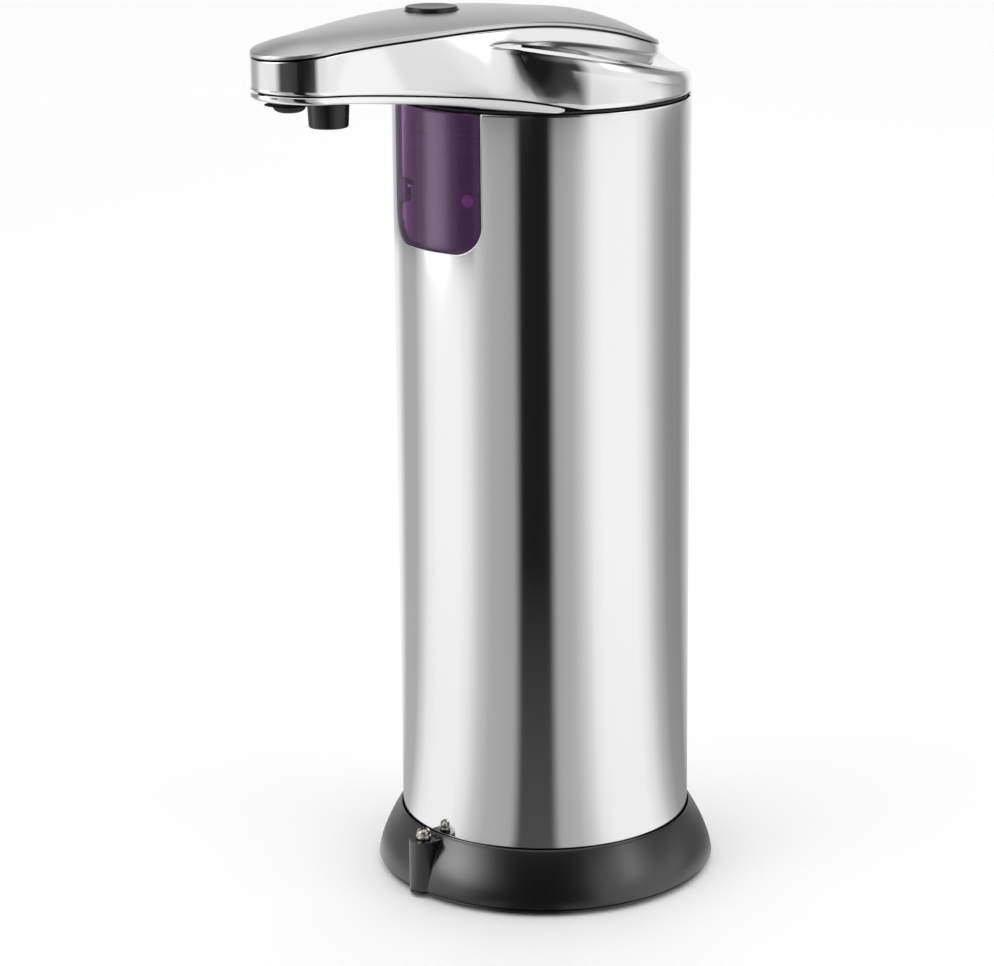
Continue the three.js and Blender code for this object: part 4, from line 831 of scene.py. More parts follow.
@dataclass
class HeadShell:
    """Chromed shell: a disc that runs into the spout arm, with the crescent scoop round the leaf."""

    lines: HeadLines
    wall: float = 1.6
    crest_in: float = 1.2
    crest_drop: float = 2.8
    crest_share: float = 0.76
    crest_settling: float = 10.0
    arm_low_share: float = 0.92
    fill_share: float = 0.80
    seat_share: float = 0.87
    inner_seat_share: float = 0.8
    lead_stations: int = 9
    lag_stations: int = 5
    settle_length: float = 9.0
    foot_edge: float = 0.5
    top_edge: float = 0.18
    ceiling: float = 0.6
    ceiling_start: float = -38.0
    ceiling_run: float = 10.0
    wall_rings: int = 13
    round_rings: int = 12
    seat_rings: int = 7
    leaf_rings: int = 6
    riser_width: float = 1.5
    riser: Sequence[Point2] = (
        (33, 0.0), (37, 0.45), (42, 0.8), (57, 0.8), (65, 0.6), (70, 0.45), (80, 0.28), (90, 0.2),
        (110, 0.12), (135, 0.0), (180, 0.0),
    )

    def _settling(self) -> np.ndarray:
        """How far each station has gone from the arm's section to the disc's."""
        lines = self.lines
        first = lines.arm_count - self.lead_stations
        along = np.linalg.norm(np.diff(lines.wall, axis=0), axis=1)
        run = np.concatenate([np.zeros(first + 1), np.cumsum(along[first:])])
        return smooth(run / (run[lines.arm_count] + self.settle_length))

    def _crest(self, crest: np.ndarray) -> np.ndarray:
        """Lead the wall's crest in a fillet from the arm into the rim of the disc."""
        lines = self.lines
        count = lines.arm_count
        rim = lines.rim_disc(lines.disc_radius - self.crest_in)
        rise = lines.rim_line(rim[:, 1])
        rise += (crest[count, 2] - rise[0]) * (1 - smooth(np.arange(len(rise)) / self.crest_settling))
        led = crest.copy()
        led[count + 1:] = raised(rim, rise)[1:]
        first, last = count - self.lead_stations, count + self.lag_stations
        steps = np.linalg.norm(np.diff(led[first:last + 1, :2], axis=0), axis=1)
        along = np.concatenate([[0], np.cumsum(steps)])
        corners = [tuple(led[station, :2]) for station in (first, count, last)]
        led[first:last + 1, :2] = bezier(corners, along / along[-1])
        return led

    def _wall_rings(self, foot: np.ndarray, low: np.ndarray) -> List[np.ndarray]:
        """Half rings of the outer wall, from its rounded foot up to where the crest starts."""
        edge = self.foot_edge
        rings = [raised(inset(self.lines.wall, edge), foot[:, 2])]
        for angle in np.radians((30, 60)):
            flat = inset(self.lines.wall, edge * (1 - math.sin(angle)))
            rings.append(raised(flat, foot[:, 2] + edge * (1 - math.cos(angle))))
        start = mix(foot, low, np.minimum(edge / np.maximum(low[:, 2] - foot[:, 2], TINY), 1))
        return rings + [mix(start, low, share) for share in np.linspace(0, 1, self.wall_rings)]

    def _riser_rings(self, crest: np.ndarray, fill: np.ndarray, gone: np.ndarray) -> List[np.ndarray]:
        """Half rings of the small step beside the crest, and of the scoop from there to the seat."""
        width = np.linalg.norm((fill - crest)[:, :2], axis=1)
        around = np.degrees(np.arctan2(crest[:, 0], -crest[:, 1]))
        angles, heights = zip(*self.riser)
        lift = np.interp(around, angles, heights) * gone * np.minimum(width / self.riser_width, 1)
        rings = []
        for across, up, most in ((0.2, 0.0, 0.08), (0.48, 1.0, 0.26)):
            ring = mix(crest, fill, np.minimum(across / np.maximum(width, TINY), most))
            ring[:, 2] += lift * up
            rings.append(ring)
        return rings + [mix(ring, fill, share) for share in np.linspace(0, 1, self.round_rings)[1:]]

    def outer(self) -> List[np.ndarray]:
        """Half rings of the outside, from the wall foot to the leaf's top edge."""
        lines = self.lines
        gone = self._settling()
        wall, leaf = lines.wall, lines.leaf
        foot = raised(wall, lines.underside(wall[:, 1]))
        top = raised(leaf, lines.seam_line(leaf[:, 1]))
        crest = self._crest(mix(foot, top, self.crest_share))
        outline = np.gradient(crest[:, :2], axis=0)
        outline /= np.linalg.norm(outline, axis=1)[:, None]
        outward = np.column_stack([outline[:, 1], -outline[:, 0], np.zeros(len(crest))])
        sink = np.array([0, 0, self.crest_drop])
        arm_low = mix(foot, crest, self.arm_low_share)
        low = mix(arm_low, crest + outward * self.crest_in - sink, gone)
        leaf_out = inset(leaf, -lines.foot_inset)
        seat = raised(leaf, lines.foot_line(leaf[:, 1]) + lines.foot_inset)
        fill = mix(mix(foot, top, self.fill_share), raised(leaf_out, lines.foot_line(leaf_out[:, 1])), gone)
        fill_high = mix(mix(foot, top, self.seat_share), seat, gone)
        rings = self._wall_rings(foot, low)
        for angle in np.radians(np.linspace(0, 90, self.round_rings))[1:]:
            straight = mix(arm_low, crest, angle / (math.pi / 2))
            round_off = crest - sink + outward * self.crest_in * math.cos(angle) + sink * math.sin(angle)
            rings.append(mix(straight, round_off, gone))
        rings += self._riser_rings(crest, fill, gone)
        for angle in np.radians(np.linspace(0, 90, self.seat_rings))[1:]:
            straight = mix(fill, fill_high, angle / (math.pi / 2))
            curved = mix(fill, fill_high, math.sin(angle))
            curved[:, 2] = mix(fill, fill_high, 1 - math.cos(angle))[:, 2]
            rings.append(mix(straight, curved, gone))
        edge = self.top_edge
        last = mix(top, fill_high, np.minimum(edge / np.maximum(top[:, 2] - fill_high[:, 2], TINY), 1))
        rings += [mix(fill_high, last, share) for share in np.linspace(0, 1, self.leaf_rings)[1:]]
        rings.append(raised(inset(leaf, edge * 0.3), top[:, 2] - edge * 0.3))
        rings.append(raised(inset(leaf, edge), top[:, 2]))
        return rings

    def inner(self) -> List[np.ndarray]:
        """Half rings of the inside, from the leaf's top edge down to the wall foot."""
        lines = self.lines
        count, wall = lines.arm_count, self.wall
        leaf_in, wall_in = inset(lines.leaf, wall), inset(lines.wall, wall)
        low, high = lines.underside(lines.wall[:, 1]), lines.seam_line(lines.leaf[:, 1])
        rings = [raised(leaf_in, lines.seam_line(leaf_in[:, 1]))]
        for share, line, disc in (
            (self.inner_seat_share, lines.foot_line, leaf_in[count:]),
            (self.crest_share, lines.rim_line, lines.rim_disc(lines.disc_radius - wall, wall)),
        ):
            flat = mix(wall_in, leaf_in, share)
            level = mix(low, high, share)
            ahead = smooth((flat[:, 1] - self.ceiling_start) / self.ceiling_run)
            level = np.minimum(level - self.ceiling, level + (line(flat[:, 1]) - wall - level) * ahead)
            ring = raised(flat, level)
            ring[count + 1:] = raised(disc, line(disc[:, 1]) - wall)[1:]
            rings.append(ring)
        return rings + [raised(wall_in, lines.underside(wall_in[:, 1]))]

    def build(self, palette: Palette) -> Piece:
        """Make the shell."""
        rings = [lifted(half, self.lines.seam) for half in self.outer() + self.inner()]
        shell = Workbench.skin("head_shell_fine", rings, closed=True)
        return palette.dress(shell, "head_shell", Body.HEAD, 40, "chrome_shell")


@dataclass
class TopPlate:
    """Satin leaf-shaped domed plate with the button's round hole; its locating lip is black, painted shade
    in the seam gap.
    """

    lines: HeadLines
    edge_in: float = 0.1
    foot: float = 0.42
    edge: float = 0.75
    round_by: float = 0.4
    round_in: float = 0.45
    wall: float = 1.2
    lip_drop: float = 1.2
    lip_out: float = 1.85
    chamfer: float = 0.2
    dome_rings: int = 34
    crowding: float = 1.6
    hole_radius: float = 5.8
    hole_place: float = -31.0

    def _dome_rings(self, edge: np.ndarray, hole: np.ndarray, away: np.ndarray) -> List[np.ndarray]:
        """Half rings from the chamfered hole over the dome and down its rounded edge."""
        lines = self.lines
        lift = self.edge + self.round_by
        level = lines.plate_height(hole, edge) + lift
        rings = [raised(hole, level - self.wall), raised(hole, level - self.chamfer)]
        for share in 1 - (1 - np.linspace(0, 1, self.dome_rings)) ** self.crowding:
            flat = mix(hole + away * self.chamfer, inset(lines.leaf, self.edge_in + self.round_in), share)
            rings.append(raised(flat, lines.plate_height(flat, edge) + lift))
        rim_top = rings[-1][:, 2]
        low = lines.seam_line(edge[:, 1]) + self.edge
        for angle in np.radians(np.linspace(0, 90, 6))[1:]:
            flat = inset(lines.leaf, self.edge_in + self.round_in * (1 - math.sin(angle)))
            rings.append(raised(flat, mix(rim_top, low, 1 - math.cos(angle))))
        return rings

    def _under_rings(self, edge: np.ndarray, hole: np.ndarray) -> List[np.ndarray]:
        """Half rings of the foot, the locating lip and the underside."""
        lines = self.lines
        lip_in = self.lip_out + self.wall
        rings = []
        for distance, level in (
            (self.edge_in, self.foot),
            (self.lip_out, self.foot),
            (self.lip_out, -self.lip_drop),
            (lip_in, -self.lip_drop),
            (lip_in, self.foot),
        ):
            flat = inset(lines.leaf, distance)
            rings.append(raised(flat, lines.seam_line(flat[:, 1]) + level))
        for share in (0.3, 0.7):
            flat = mix(inset(lines.leaf, lip_in), hole, share)
            height = lines.plate_height(flat, edge) + self.edge + self.round_by - self.wall
            rings.append(raised(flat, np.maximum(height, lines.seam_line(flat[:, 1]) + self.foot)))
        return rings

    def build(self, palette: Palette) -> Piece:
        """Make the plate."""
        lines = self.lines
        edge = inset(lines.leaf, self.edge_in)
        centre = np.array([0.0, self.hole_place])
        away = edge - centre
        away /= np.linalg.norm(away, axis=1)[:, None]
        hole = centre + away * self.hole_radius
        halves = self._dome_rings(edge, hole, away) + self._under_rings(edge, hole)
        rings = [lifted(half, lines.seam) for half in halves]
        plate = Workbench.skin("top_plate_fine", rings, closed=True)
        palette.dress(plate, "top_plate", Body.HEAD, 35, "satin_steel", "black_plastic")
        # Faces at and below the plate's foot take the black finish: painted shade that darkens the seam gap
        # under the plate.
        for face in plate.data.polygons:
            line = float(lines.seam_line(face.center.y / MM)) + lines.seam
            if face.center.z < (line + self.foot + 0.01) * MM:
                face.material_index = 1
        return plate

    def top_at(self, place: float) -> float:
        """Height of the plate on its spine, above the table."""
        lines = self.lines
        flat = np.array([place])
        rise = lines.seam_line(flat) + self.edge + self.round_by + lines.dome + lines.rise_line(flat)
        return lines.seam + float(rise[0])


@dataclass
class PowerButton:
    """Black round button with a shallow dish, its flange and stem below the plate."""

    plate: TopPlate
    radius: float = 5.6
    dish_radius: float = 0.72 * 5.6
    proud: float = 0.9
    flange: float = 1.2
    flange_height: float = 0.9
    stem: float = 1.7
    stem_height: float = 1.0

    def build(self, palette: Palette) -> Piece:
        """Make the button."""
        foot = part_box("power_button")[0].z / MM
        top = self.plate.top_at(self.plate.hole_place) + self.proud
        flange_foot = foot + self.stem_height
        flange_top = flange_foot + self.flange_height
        flange = self.radius + self.flange
        profile = [
            (0, foot), (self.stem, foot), (self.stem, flange_foot), (flange, flange_foot),
            (flange, flange_top), (self.radius, flange_top), (self.radius, top - 0.1),
            (self.dish_radius, top - 0.28), (0, top - 0.5),
        ]
        rounded = soften(profile, {4: 0.2, 6: 0.55}, 6)
        button = Workbench.lathe("power_button_fine", rounded, (0, self.plate.hole_place), 96)
        return palette.dress(button, "power_button", Body.BUTTON, 40, "black_plastic")


@dataclass
class ArmUnderside:
    """Chromed lip round the black panel, with the nozzle and the sensor hood below the arm."""

    lines: HeadLines
    lip_width: float = 2.4
    lip_round: float = 0.75
    lip_edge: float = 0.15
    lip_chamfer: float = 0.3
    seam_gap: float = 0.25
    tube_clear: float = 33.3
    panel_in: float = 2.7
    panel_recess: float = 0.2
    panel_thickness: float = 1.5
    nozzle_place: float = -69.2
    nozzle_hole: float = 3.7
    nozzle_radius: float = 3.5
    nozzle_bore: float = 0.6
    mouth_radius: float = 1.2
    spout_radius: float = 0.9
    collar_radius: float = 5.2
    collar_depth: float = 1.0
    collar_back: float = 10.8
    sensor_place: float = -59.1
    sensor_hole: float = 4.7
    hood_radius: float = 4.5
    hood_flange: float = 5.3
    well_radius: float = 1.55
    well_spread: float = 1.7

    def lip_top(self, places: np.ndarray) -> np.ndarray:
        """Height of the lip's top."""
        return self.lines.underside(places) - self.seam_gap

    def lip_foot(self, places: np.ndarray) -> np.ndarray:
        """Height of the lip's foot."""
        return self.lip_top(places) - self.lines.lip_line(places)

    def _panel_foot(self, place: float) -> float:
        """Height of the panel's underside above the table at a place."""
        return self.lines.seam + float((self.lip_foot(np.array([place])) + self.panel_recess)[0])

    def _tube(self, radius: float) -> Piece:
        """A cutter as round as the tube."""
        return Workbench.rod("cutter", radius, (self.lines.seam - 40, self.lines.seam + 40))

    def _rings(self, rows: Sequence[Tuple[float, Line]]) -> List[np.ndarray]:
        """Whole rings from rows of inset and height."""
        flats = [(inset(self.lines.wall, distance), level) for distance, level in rows]
        return [lifted(raised(flat, level(flat[:, 1])), self.lines.seam) for flat, level in flats]

    def build_lip(self, palette: Palette) -> Piece:
        """The chromed lip."""
        round_by, width = self.lip_round, self.lip_width
        rows = [
            (width, self.lip_top),
            (self.lip_edge, self.lip_top),
            (0.0, lambda y: self.lip_top(y) - self.lip_edge),
        ]
        for angle in np.radians(np.linspace(0, 90, 6)):
            rise = round_by * (1 - math.sin(angle))
            rows.append((round_by * (1 - math.cos(angle)), lambda y, up=rise: self.lip_foot(y) + up))
        rows.append((width - self.lip_chamfer, self.lip_foot))
        rows.append((width, lambda y: self.lip_foot(y) + self.lip_chamfer))
        lip = Workbench.skin("arm_rim_fine", self._rings(rows), closed=True)
        Workbench.carve(lip, self._tube(self.tube_clear))
        return palette.dress(lip, "arm_rim", Body.HEAD, 35, "chrome_shell")

    def build_panel(self, palette: Palette) -> Piece:
        """The black panel with its two holes."""
        chamfer = 0.3
        rows = [
            (self.panel_in + inward, lambda y, up=rise: self.lip_foot(y) + self.panel_recess + up)
            for inward, rise in ((chamfer, 0.0), (0.0, chamfer), (0.0, self.panel_thickness))
        ]
        panel = Workbench.skin("arm_panel_fine", self._rings(rows), closed=False)
        Workbench.carve(panel, self._tube(self.tube_clear + self.lip_width + 0.3))
        span = (self.lines.seam - 30, self.lines.seam + 30)
        for place, radius in ((self.nozzle_place, self.nozzle_hole), (self.sensor_place, self.sensor_hole)):
            Workbench.carve(panel, Workbench.rod("cutter", radius, span, (0, place), 64))
        return palette.dress(panel, "arm_panel", Body.HEAD, 30, "black_plastic")

    def build_nozzle(self, palette: Palette) -> Piece:
        """The rounded black nozzle with its collar."""
        low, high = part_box("nozzle")
        foot, top, radius = low.z / MM, high.z / MM, self.nozzle_radius
        collar_foot = self._panel_foot(self.nozzle_place) - self.collar_depth
        collar_top = self._panel_foot(self.nozzle_place + self.collar_back) - 0.3
        corners = [(self.mouth_radius, foot), (radius, foot + 0.1), (radius, collar_foot)]
        dome = [tuple(point) for point in bezier(corners, np.linspace(0, 1, 14))]
        outer = self.collar_radius
        collar = [dome[-1], (outer, collar_foot), (outer, collar_top), (radius, collar_top)]
        profile = [(self.nozzle_bore, foot)] + dome
        profile += soften(collar, {1: min(0.6, (collar_top - collar_foot) * 0.8)}, 5)[1:]
        shoulder, spout = top - 0.9, self.spout_radius
        profile += [(radius, shoulder), (spout, shoulder), (spout, top), (self.nozzle_bore, top)]
        nozzle = Workbench.lathe("nozzle_fine", profile, (0, self.nozzle_place), 64)
        return palette.dress(nozzle, "nozzle", Body.HEAD, 40, "black_rubber")

    def build_sensor(self, palette: Palette) -> Piece:
        """The slightly tapered sensor hood."""
        low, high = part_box("sensor_hood")
        foot, top = low.z / MM, high.z / MM
        panel = self._panel_foot(self.sensor_place)
        radius, flange, flange_foot = self.hood_radius, self.hood_flange, top - 0.8
        profile = [
            (0, foot), (radius - 0.3, foot), (radius, panel), (radius, flange_foot), (flange, flange_foot),
            (flange, top), (0, top),
        ]
        hood = Workbench.lathe("sensor_hood_fine", soften(profile, {1: 0.6}, 6), (0, self.sensor_place), 72)
        span = (foot + 1.2, top + 2)
        for side in (-1, 1):
            centre = (side * self.well_spread, self.sensor_place)
            Workbench.carve(hood, Workbench.rod("cutter", self.well_radius, span, centre, 32))
        return palette.dress(hood, "sensor_hood", Body.HEAD, 40, "black_plastic")


@dataclass
class SleeveAndTank:
    """Polished sleeve with its U-shaped cut, and the purple tank whose pane closes the cut."""

    radius: float = 33.0
    wall: float = 0.6
    foot: float = 9.3
    top: float = 178.1
    window_half: float = 14.25
    window_foot: float = 147.4
    corner: float = 6.5
    hold: float = 0.45
    across: int = 40
    gap: float = 0.25
    pane_thickness: float = 1.3
    tank_outer: float = 32.1
    tank_inner: float = 30.7
    tank_top: float = 177.8
    tank_floor: float = 66.0
    tank_foot: float = 62.4
    floor_thickness: float = 2.0
    stud_height: float = 159.2
    stud_spread: float = 20.0
    stud_radius: float = 1.5
    stud_back: float = -1.3
    stud_front: float = 0.4
    seal_radius: float = 2.9
    seal_front: float = -0.6
    pocket_radius: float = 3.0

    def _window(self, gap: float) -> Tuple[np.ndarray, np.ndarray]:
        """Angles across the window, and the height of its lower edge at each.

        Args:
            gap: How far the outline is drawn in from the sleeve's cut.

        Returns:
            The angles and the heights.
        """
        half, foot, corner = self.window_half - gap, self.window_foot + gap, self.corner - gap
        x = np.sin(np.linspace(0, math.pi, self.across + 1) - math.pi / 2) * half
        past = np.clip(np.abs(x) - (half - corner), 0, corner)
        edges = foot + corner - np.sqrt(np.maximum(corner ** 2 - past ** 2, 0))
        return np.arcsin(x / self.radius), edges

    def _grid(
        self, name: str, columns: np.ndarray, heights: Sequence[np.ndarray], keep: np.ndarray
    ) -> Piece:
        """Lay a grid round the tube.

        Args:
            name: The new object's name.
            columns: The angle of each column of points.
            heights: The heights of each column's points.
            keep: For each column and row of cells, whether it stays.

        Returns:
            The sheet, one face thick, its faces outwards.
        """
        cells_x, cells_y = keep.shape
        Workbench.clear()
        bpy.ops.mesh.primitive_grid_add(x_subdivisions=cells_x, y_subdivisions=cells_y, size=1)
        obj = Workbench.named(name)
        work = bmesh.new()
        work.from_mesh(obj.data)
        work.verts.ensure_lookup_table()
        places = {
            vert.index: (round((vert.co.x + 0.5) * cells_x), round((vert.co.y + 0.5) * cells_y))
            for vert in work.verts
        }
        doomed = []
        for face in work.faces:
            corners = [places[vert.index] for vert in face.verts]
            if not keep[min(i for i, _ in corners), min(j for _, j in corners)]:
                doomed.append(face)
        for vert in work.verts:
            i, j = places[vert.index]
            x, y = self.radius * math.sin(columns[i]), -self.radius * math.cos(columns[i])
            vert.co = Vector((x, y, heights[i][j])) * MM
        bmesh.ops.delete(work, geom=doomed, context="FACES")
        bmesh.ops.remove_doubles(work, verts=work.verts, dist=MERGE_DISTANCE)
        bmesh.ops.recalc_face_normals(work, faces=work.faces)
        first = next(iter(work.faces))
        middle = first.calc_center_median()
        if first.normal.dot(Vector((middle.x, middle.y, 0))) < 0:
            bmesh.ops.reverse_faces(work, faces=work.faces)
        work.to_mesh(obj.data)
        work.free()
        return obj

    def _sleeve_sheet(self) -> Piece:
        """All of the tube but the window, with a narrow row and column of faces beside its edges."""
        angles, edges = self._window(0.0)
        side, hold = math.asin(self.window_half / self.radius), self.hold
        beside = side + hold / self.radius
        columns = np.concatenate([angles, np.linspace(beside, math.tau - beside, 201), [math.tau - side]])
        shoulders = np.full(len(columns) - len(angles), self.window_foot + self.corner)
        rows_low, rows_high = 24, 8
        low, high = np.linspace(0, 1, rows_low), np.linspace(0, 1, rows_high)[1:]
        heights = []
        for edge in np.concatenate([edges, shoulders]):
            below = self.foot + (edge - hold - self.foot) * low
            above = edge + (self.top - hold - edge) * high
            heights.append(np.concatenate([below, [edge], above, [self.top]]))
        keep = np.ones((len(columns) - 1, rows_low + rows_high), bool)
        keep[:self.across, rows_low:] = False
        return self._grid("steel_sleeve_fine", columns, heights, keep)

    def _pane_sheet(self) -> Piece:
        """The window alone, a gap smaller than the sleeve's cut."""
        angles, edges = self._window(self.gap)
        rows, hold = 24, self.hold
        share = np.linspace(0, 1, rows - 1)
        heights = [
            np.concatenate([[edge], edge + hold + (self.top - edge - hold * 2) * share, [self.top]])
            for edge in edges
        ]
        return self._grid("pane", angles, heights, np.ones((self.across, rows), bool))

    def build_sleeve(self, palette: Palette) -> Piece:
        """The polished sleeve."""
        sleeve = self._sleeve_sheet()
        Workbench.thicken(sleeve, self.wall)
        Workbench.bevel(sleeve, 0.12, 2)
        return palette.dress(sleeve, "steel_sleeve", Body.MAIN, 40, "polished_steel")

    def build_tank(self, palette: Palette) -> Piece:
        """The tank: a cup with its floor, and the pane that stands out flush with the sleeve."""
        floor, inner, outer = self.tank_floor, self.tank_inner, self.tank_outer
        floor_top = floor + self.floor_thickness
        profile = [
            (0, floor), (inner, floor), (inner, self.tank_foot), (outer, self.tank_foot),
            (outer, self.tank_top), (inner, self.tank_top), (inner, floor_top), (0, floor_top),
        ]
        tank = Workbench.lathe("soap_tank_fine", soften(profile, {6: 1.2, 4: 0.3, 5: 0.3}, 4))
        pane = self._pane_sheet()
        Workbench.thicken(pane, self.pane_thickness)
        Workbench.bevel(pane, 0.3, 3)
        Workbench.carve(tank, pane, "UNION")
        for side in (-1, 1):
            pocket = Workbench.rod("cutter", self.pocket_radius, (-1.5, 2.0), (0, 0), 48)
            Workbench.carve(tank, self._on_wall(pocket, side))
        return palette.dress(tank, "soap_tank", Body.MAIN, 30, "purple_clear")

    def _on_wall(self, obj: Piece, side: int) -> Piece:
        """Lay a piece turned on the upright axis against the tank wall, its top side inwards."""
        spin = Matrix.Rotation(side * math.asin(self.stud_spread / 2 / self.tank_inner), 4, "Z")
        place = Matrix.Translation(Vector((0, -self.tank_inner, self.stud_height)) * MM)
        obj.data.transform(spin @ place @ Matrix.Rotation(math.radians(-90), 4, "X"))
        return obj

    def build_studs(self, palette: Palette) -> List[Piece]:
        """The two round studs and their seals."""
        radius, bore, outer = self.stud_radius, self.stud_radius + 0.1, self.seal_radius
        back, front, seal_front = self.stud_back, self.stud_front, self.seal_front
        stud = soften([(0, back), (radius, back), (radius, front), (0, front)], {1: 0.25, 2: 0.3})
        seal = [(bore, back), (outer, back), (outer, seal_front), (bore, seal_front)]
        seal = soften(seal, {0: 0.15, 1: 0.25, 2: 0.25, 3: 0.15})
        made = []
        for label, side in (("left", -1), ("right", 1)):
            for node, profile, finish in (
                ("tank_stud_" + label, stud, "nickel_spring"),
                ("stud_seal_" + label, seal, "black_rubber"),
            ):
                piece = self._on_wall(Workbench.lathe(node + "_fine", profile, (0, 0), 48), side)
                made.append(palette.dress(piece, node, Body.MAIN, 40, finish))
        return made


@dataclass
class BaseAndCover:
    """Flared black base ring with its screw post, gasket, lock screw, battery cover and foot pad."""

    lip_radius: float = 33.65
    lip_height: float = 13.5
    ring_radius: float = 38.75
    bulge_radius: float = 38.1
    bulge_height: float = 6.2
    foot_height: float = 1.15
    foot_round: float = 0.35
    bore_radius: float = 31.6
    socket_radius: float = 33.3
    shelf_height: float = 9.0
    groove_radius: float = 34.1
    groove_foot: float = 9.55
    groove_top: float = 11.15
    gasket_inner: float = 33.2
    gasket_outer: float = 33.9
    gasket_gap: float = 0.05
    post_radius: float = 3.3
    post_place: float = -36.6
    post_top: float = 12.85
    post_depth: float = 3.1
    screw_radius: float = 1.1
    screw_hole: float = 1.2
    screw_tip: float = 0.55
    washer_radius: float = 1.75
    head_radius: float = 1.5
    cross_width: float = 0.55
    cross_length: float = 2.1
    cross_depth: float = 1.6
    cross_turn: float = 20.0
    rim_radius: float = 38.25
    rim_foot: float = 0.2
    rim_top: float = 0.9
    recess_radius: float = 28.3
    recess_top: float = 1.35
    cover_gap: float = 0.3
    cover_top: float = 8.7
    cover_floor: float = 3.7
    cover_wall: float = 3.0
    seal_bore: float = 30.0
    seal_foot: float = 4.65
    seal_top: float = 6.15
    pad_radius: float = 28.0
    pad_hollow: float = 20.0

    def _post(self) -> Piece:
        """The screw post, drawn back into the ring."""
        foot, radius, depth = self.foot_height, self.post_radius, self.post_depth
        post = Workbench.rod("post", radius, (foot, self.post_top), (0, self.post_place), 64)
        middle = (0, self.post_place + depth / 2, (self.post_top + foot) / 2)
        back = Workbench.block("back", (radius * 2, depth, self.post_top - foot), middle)
        Workbench.carve(post, back, "UNION")
        return Workbench.bevel(post, 0.25, 3)

    def build_ring(self, palette: Palette) -> Piece:
        """The base ring and its post."""
        foot, place = self.foot_height, (0, self.post_place)
        corners = [
            (self.ring_radius, foot + self.foot_round),
            (self.bulge_radius, self.bulge_height),
            (self.lip_radius, self.lip_height),
        ]
        flare = [tuple(point) for point in bezier(corners, np.linspace(0, 1, 28))]
        profile = [(self.bore_radius, foot), (self.ring_radius - self.foot_round, foot)] + flare
        profile += [(self.socket_radius, self.lip_height), (self.socket_radius, self.shelf_height)]
        profile.append((self.bore_radius, self.shelf_height))
        ring = Workbench.lathe("base_ring_fine", soften(profile, {len(flare) + 1: 0.12}, 3))
        Workbench.carve(ring, self._post(), "UNION")
        Workbench.carve(ring, Workbench.rod("cutter", self.screw_hole, (0, self.post_top + 1), place, 32))
        groove = (self.groove_foot, self.groove_top)
        Workbench.carve(ring, Workbench.rod("cutter", self.groove_radius, groove))
        return palette.dress(ring, "base_ring", Body.MAIN, 35, "base_plastic")

    def build_gasket(self, palette: Palette) -> Piece:
        """The thin gasket between sleeve and ring."""
        inner, outer = self.gasket_inner, self.gasket_outer
        low, high = self.groove_foot + self.gasket_gap, self.groove_top - self.gasket_gap
        profile = soften(
            [(inner, low), (outer, low), (outer, high), (inner, high)], dict.fromkeys(range(4), 0.2), 4
        )
        gasket = Workbench.lathe("sleeve_gasket_fine", profile)
        return palette.dress(gasket, "sleeve_gasket", Body.MAIN, 40, "black_rubber")

    def build_screw(self, palette: Palette) -> Piece:
        """The lock screw: a pan head with a washer face and a cross."""
        foot, top, shank = self.post_top + 0.3, self.post_top + 2.4, self.screw_radius
        washer, head, tip = self.washer_radius, self.head_radius, self.screw_tip
        profile = [
            (0, tip), (shank, tip), (shank, foot), (washer, foot), (washer, foot + 0.5),
            (head + 0.06, foot + 0.62), (head, top - 0.5), (0.95, top), (0, top),
        ]
        place = (0, self.post_place)
        screw = Workbench.lathe("lock_screw_fine", soften(profile, {4: 0.15, 6: 0.3, 7: 0.3}, 4), place, 48)
        for across, along in ((self.cross_width, self.cross_length), (self.cross_length, self.cross_width)):
            slot = Workbench.block("cutter", (across, along, self.cross_depth), (*place, top))
            Workbench.carve(screw, slot)
        Workbench.turn(screw, self.cross_turn, place)
        return palette.dress(screw, "lock_screw", Body.MAIN, 35, "nickel_spring")

    def build_cover(self, palette: Palette) -> Piece:
        """The battery cover whose rim shows below the ring, with its tab under the post."""
        outer, low, high = self.bore_radius - self.cover_gap, self.rim_foot, self.rim_top
        inner, place = outer - self.cover_wall, (0, self.post_place)
        profile = [
            (0, self.recess_top), (self.recess_radius, self.recess_top), (self.recess_radius, low),
            (self.rim_radius, low), (self.rim_radius, high), (outer, high), (outer, self.seal_foot),
            (self.seal_bore, self.seal_foot), (self.seal_bore, self.seal_top), (outer, self.seal_top),
            (outer, self.cover_top), (inner, self.cover_top), (inner, self.cover_floor),
            (0, self.cover_floor),
        ]
        rounded = soften(profile, {3: 0.15, 4: 0.2, 10: 0.4, 11: 0.4}, 3)
        cover = Workbench.lathe("battery_cover_fine", rounded)
        tab = soften(
            [(0, low), (self.post_radius, low), (self.post_radius, high), (0, high)], {1: 0.15, 2: 0.2}, 3
        )
        Workbench.carve(cover, Workbench.lathe("tab", tab, place, 64), "UNION")
        Workbench.carve(cover, Workbench.rod("cutter", self.screw_hole, (0.43, 5), place, 32))
        return palette.dress(cover, "battery_cover", Body.COVER, 35, "base_plastic")

    def build_pad(self, palette: Palette) -> Piece:
        """The rubber foot pad, hollowed a little in its middle."""
        hollow, radius = self.pad_hollow, self.pad_radius
        profile = [(0, 0.25), (hollow, 0.25), (hollow + 0.6, 0), (radius, 0), (radius, 1.3), (0, 1.3)]
        pad = Workbench.lathe("foot_pad_fine", soften(profile, {3: 0.4}, 4))
        return palette.dress(pad, "foot_pad", Body.COVER, 35, "black_rubber")


# Studio


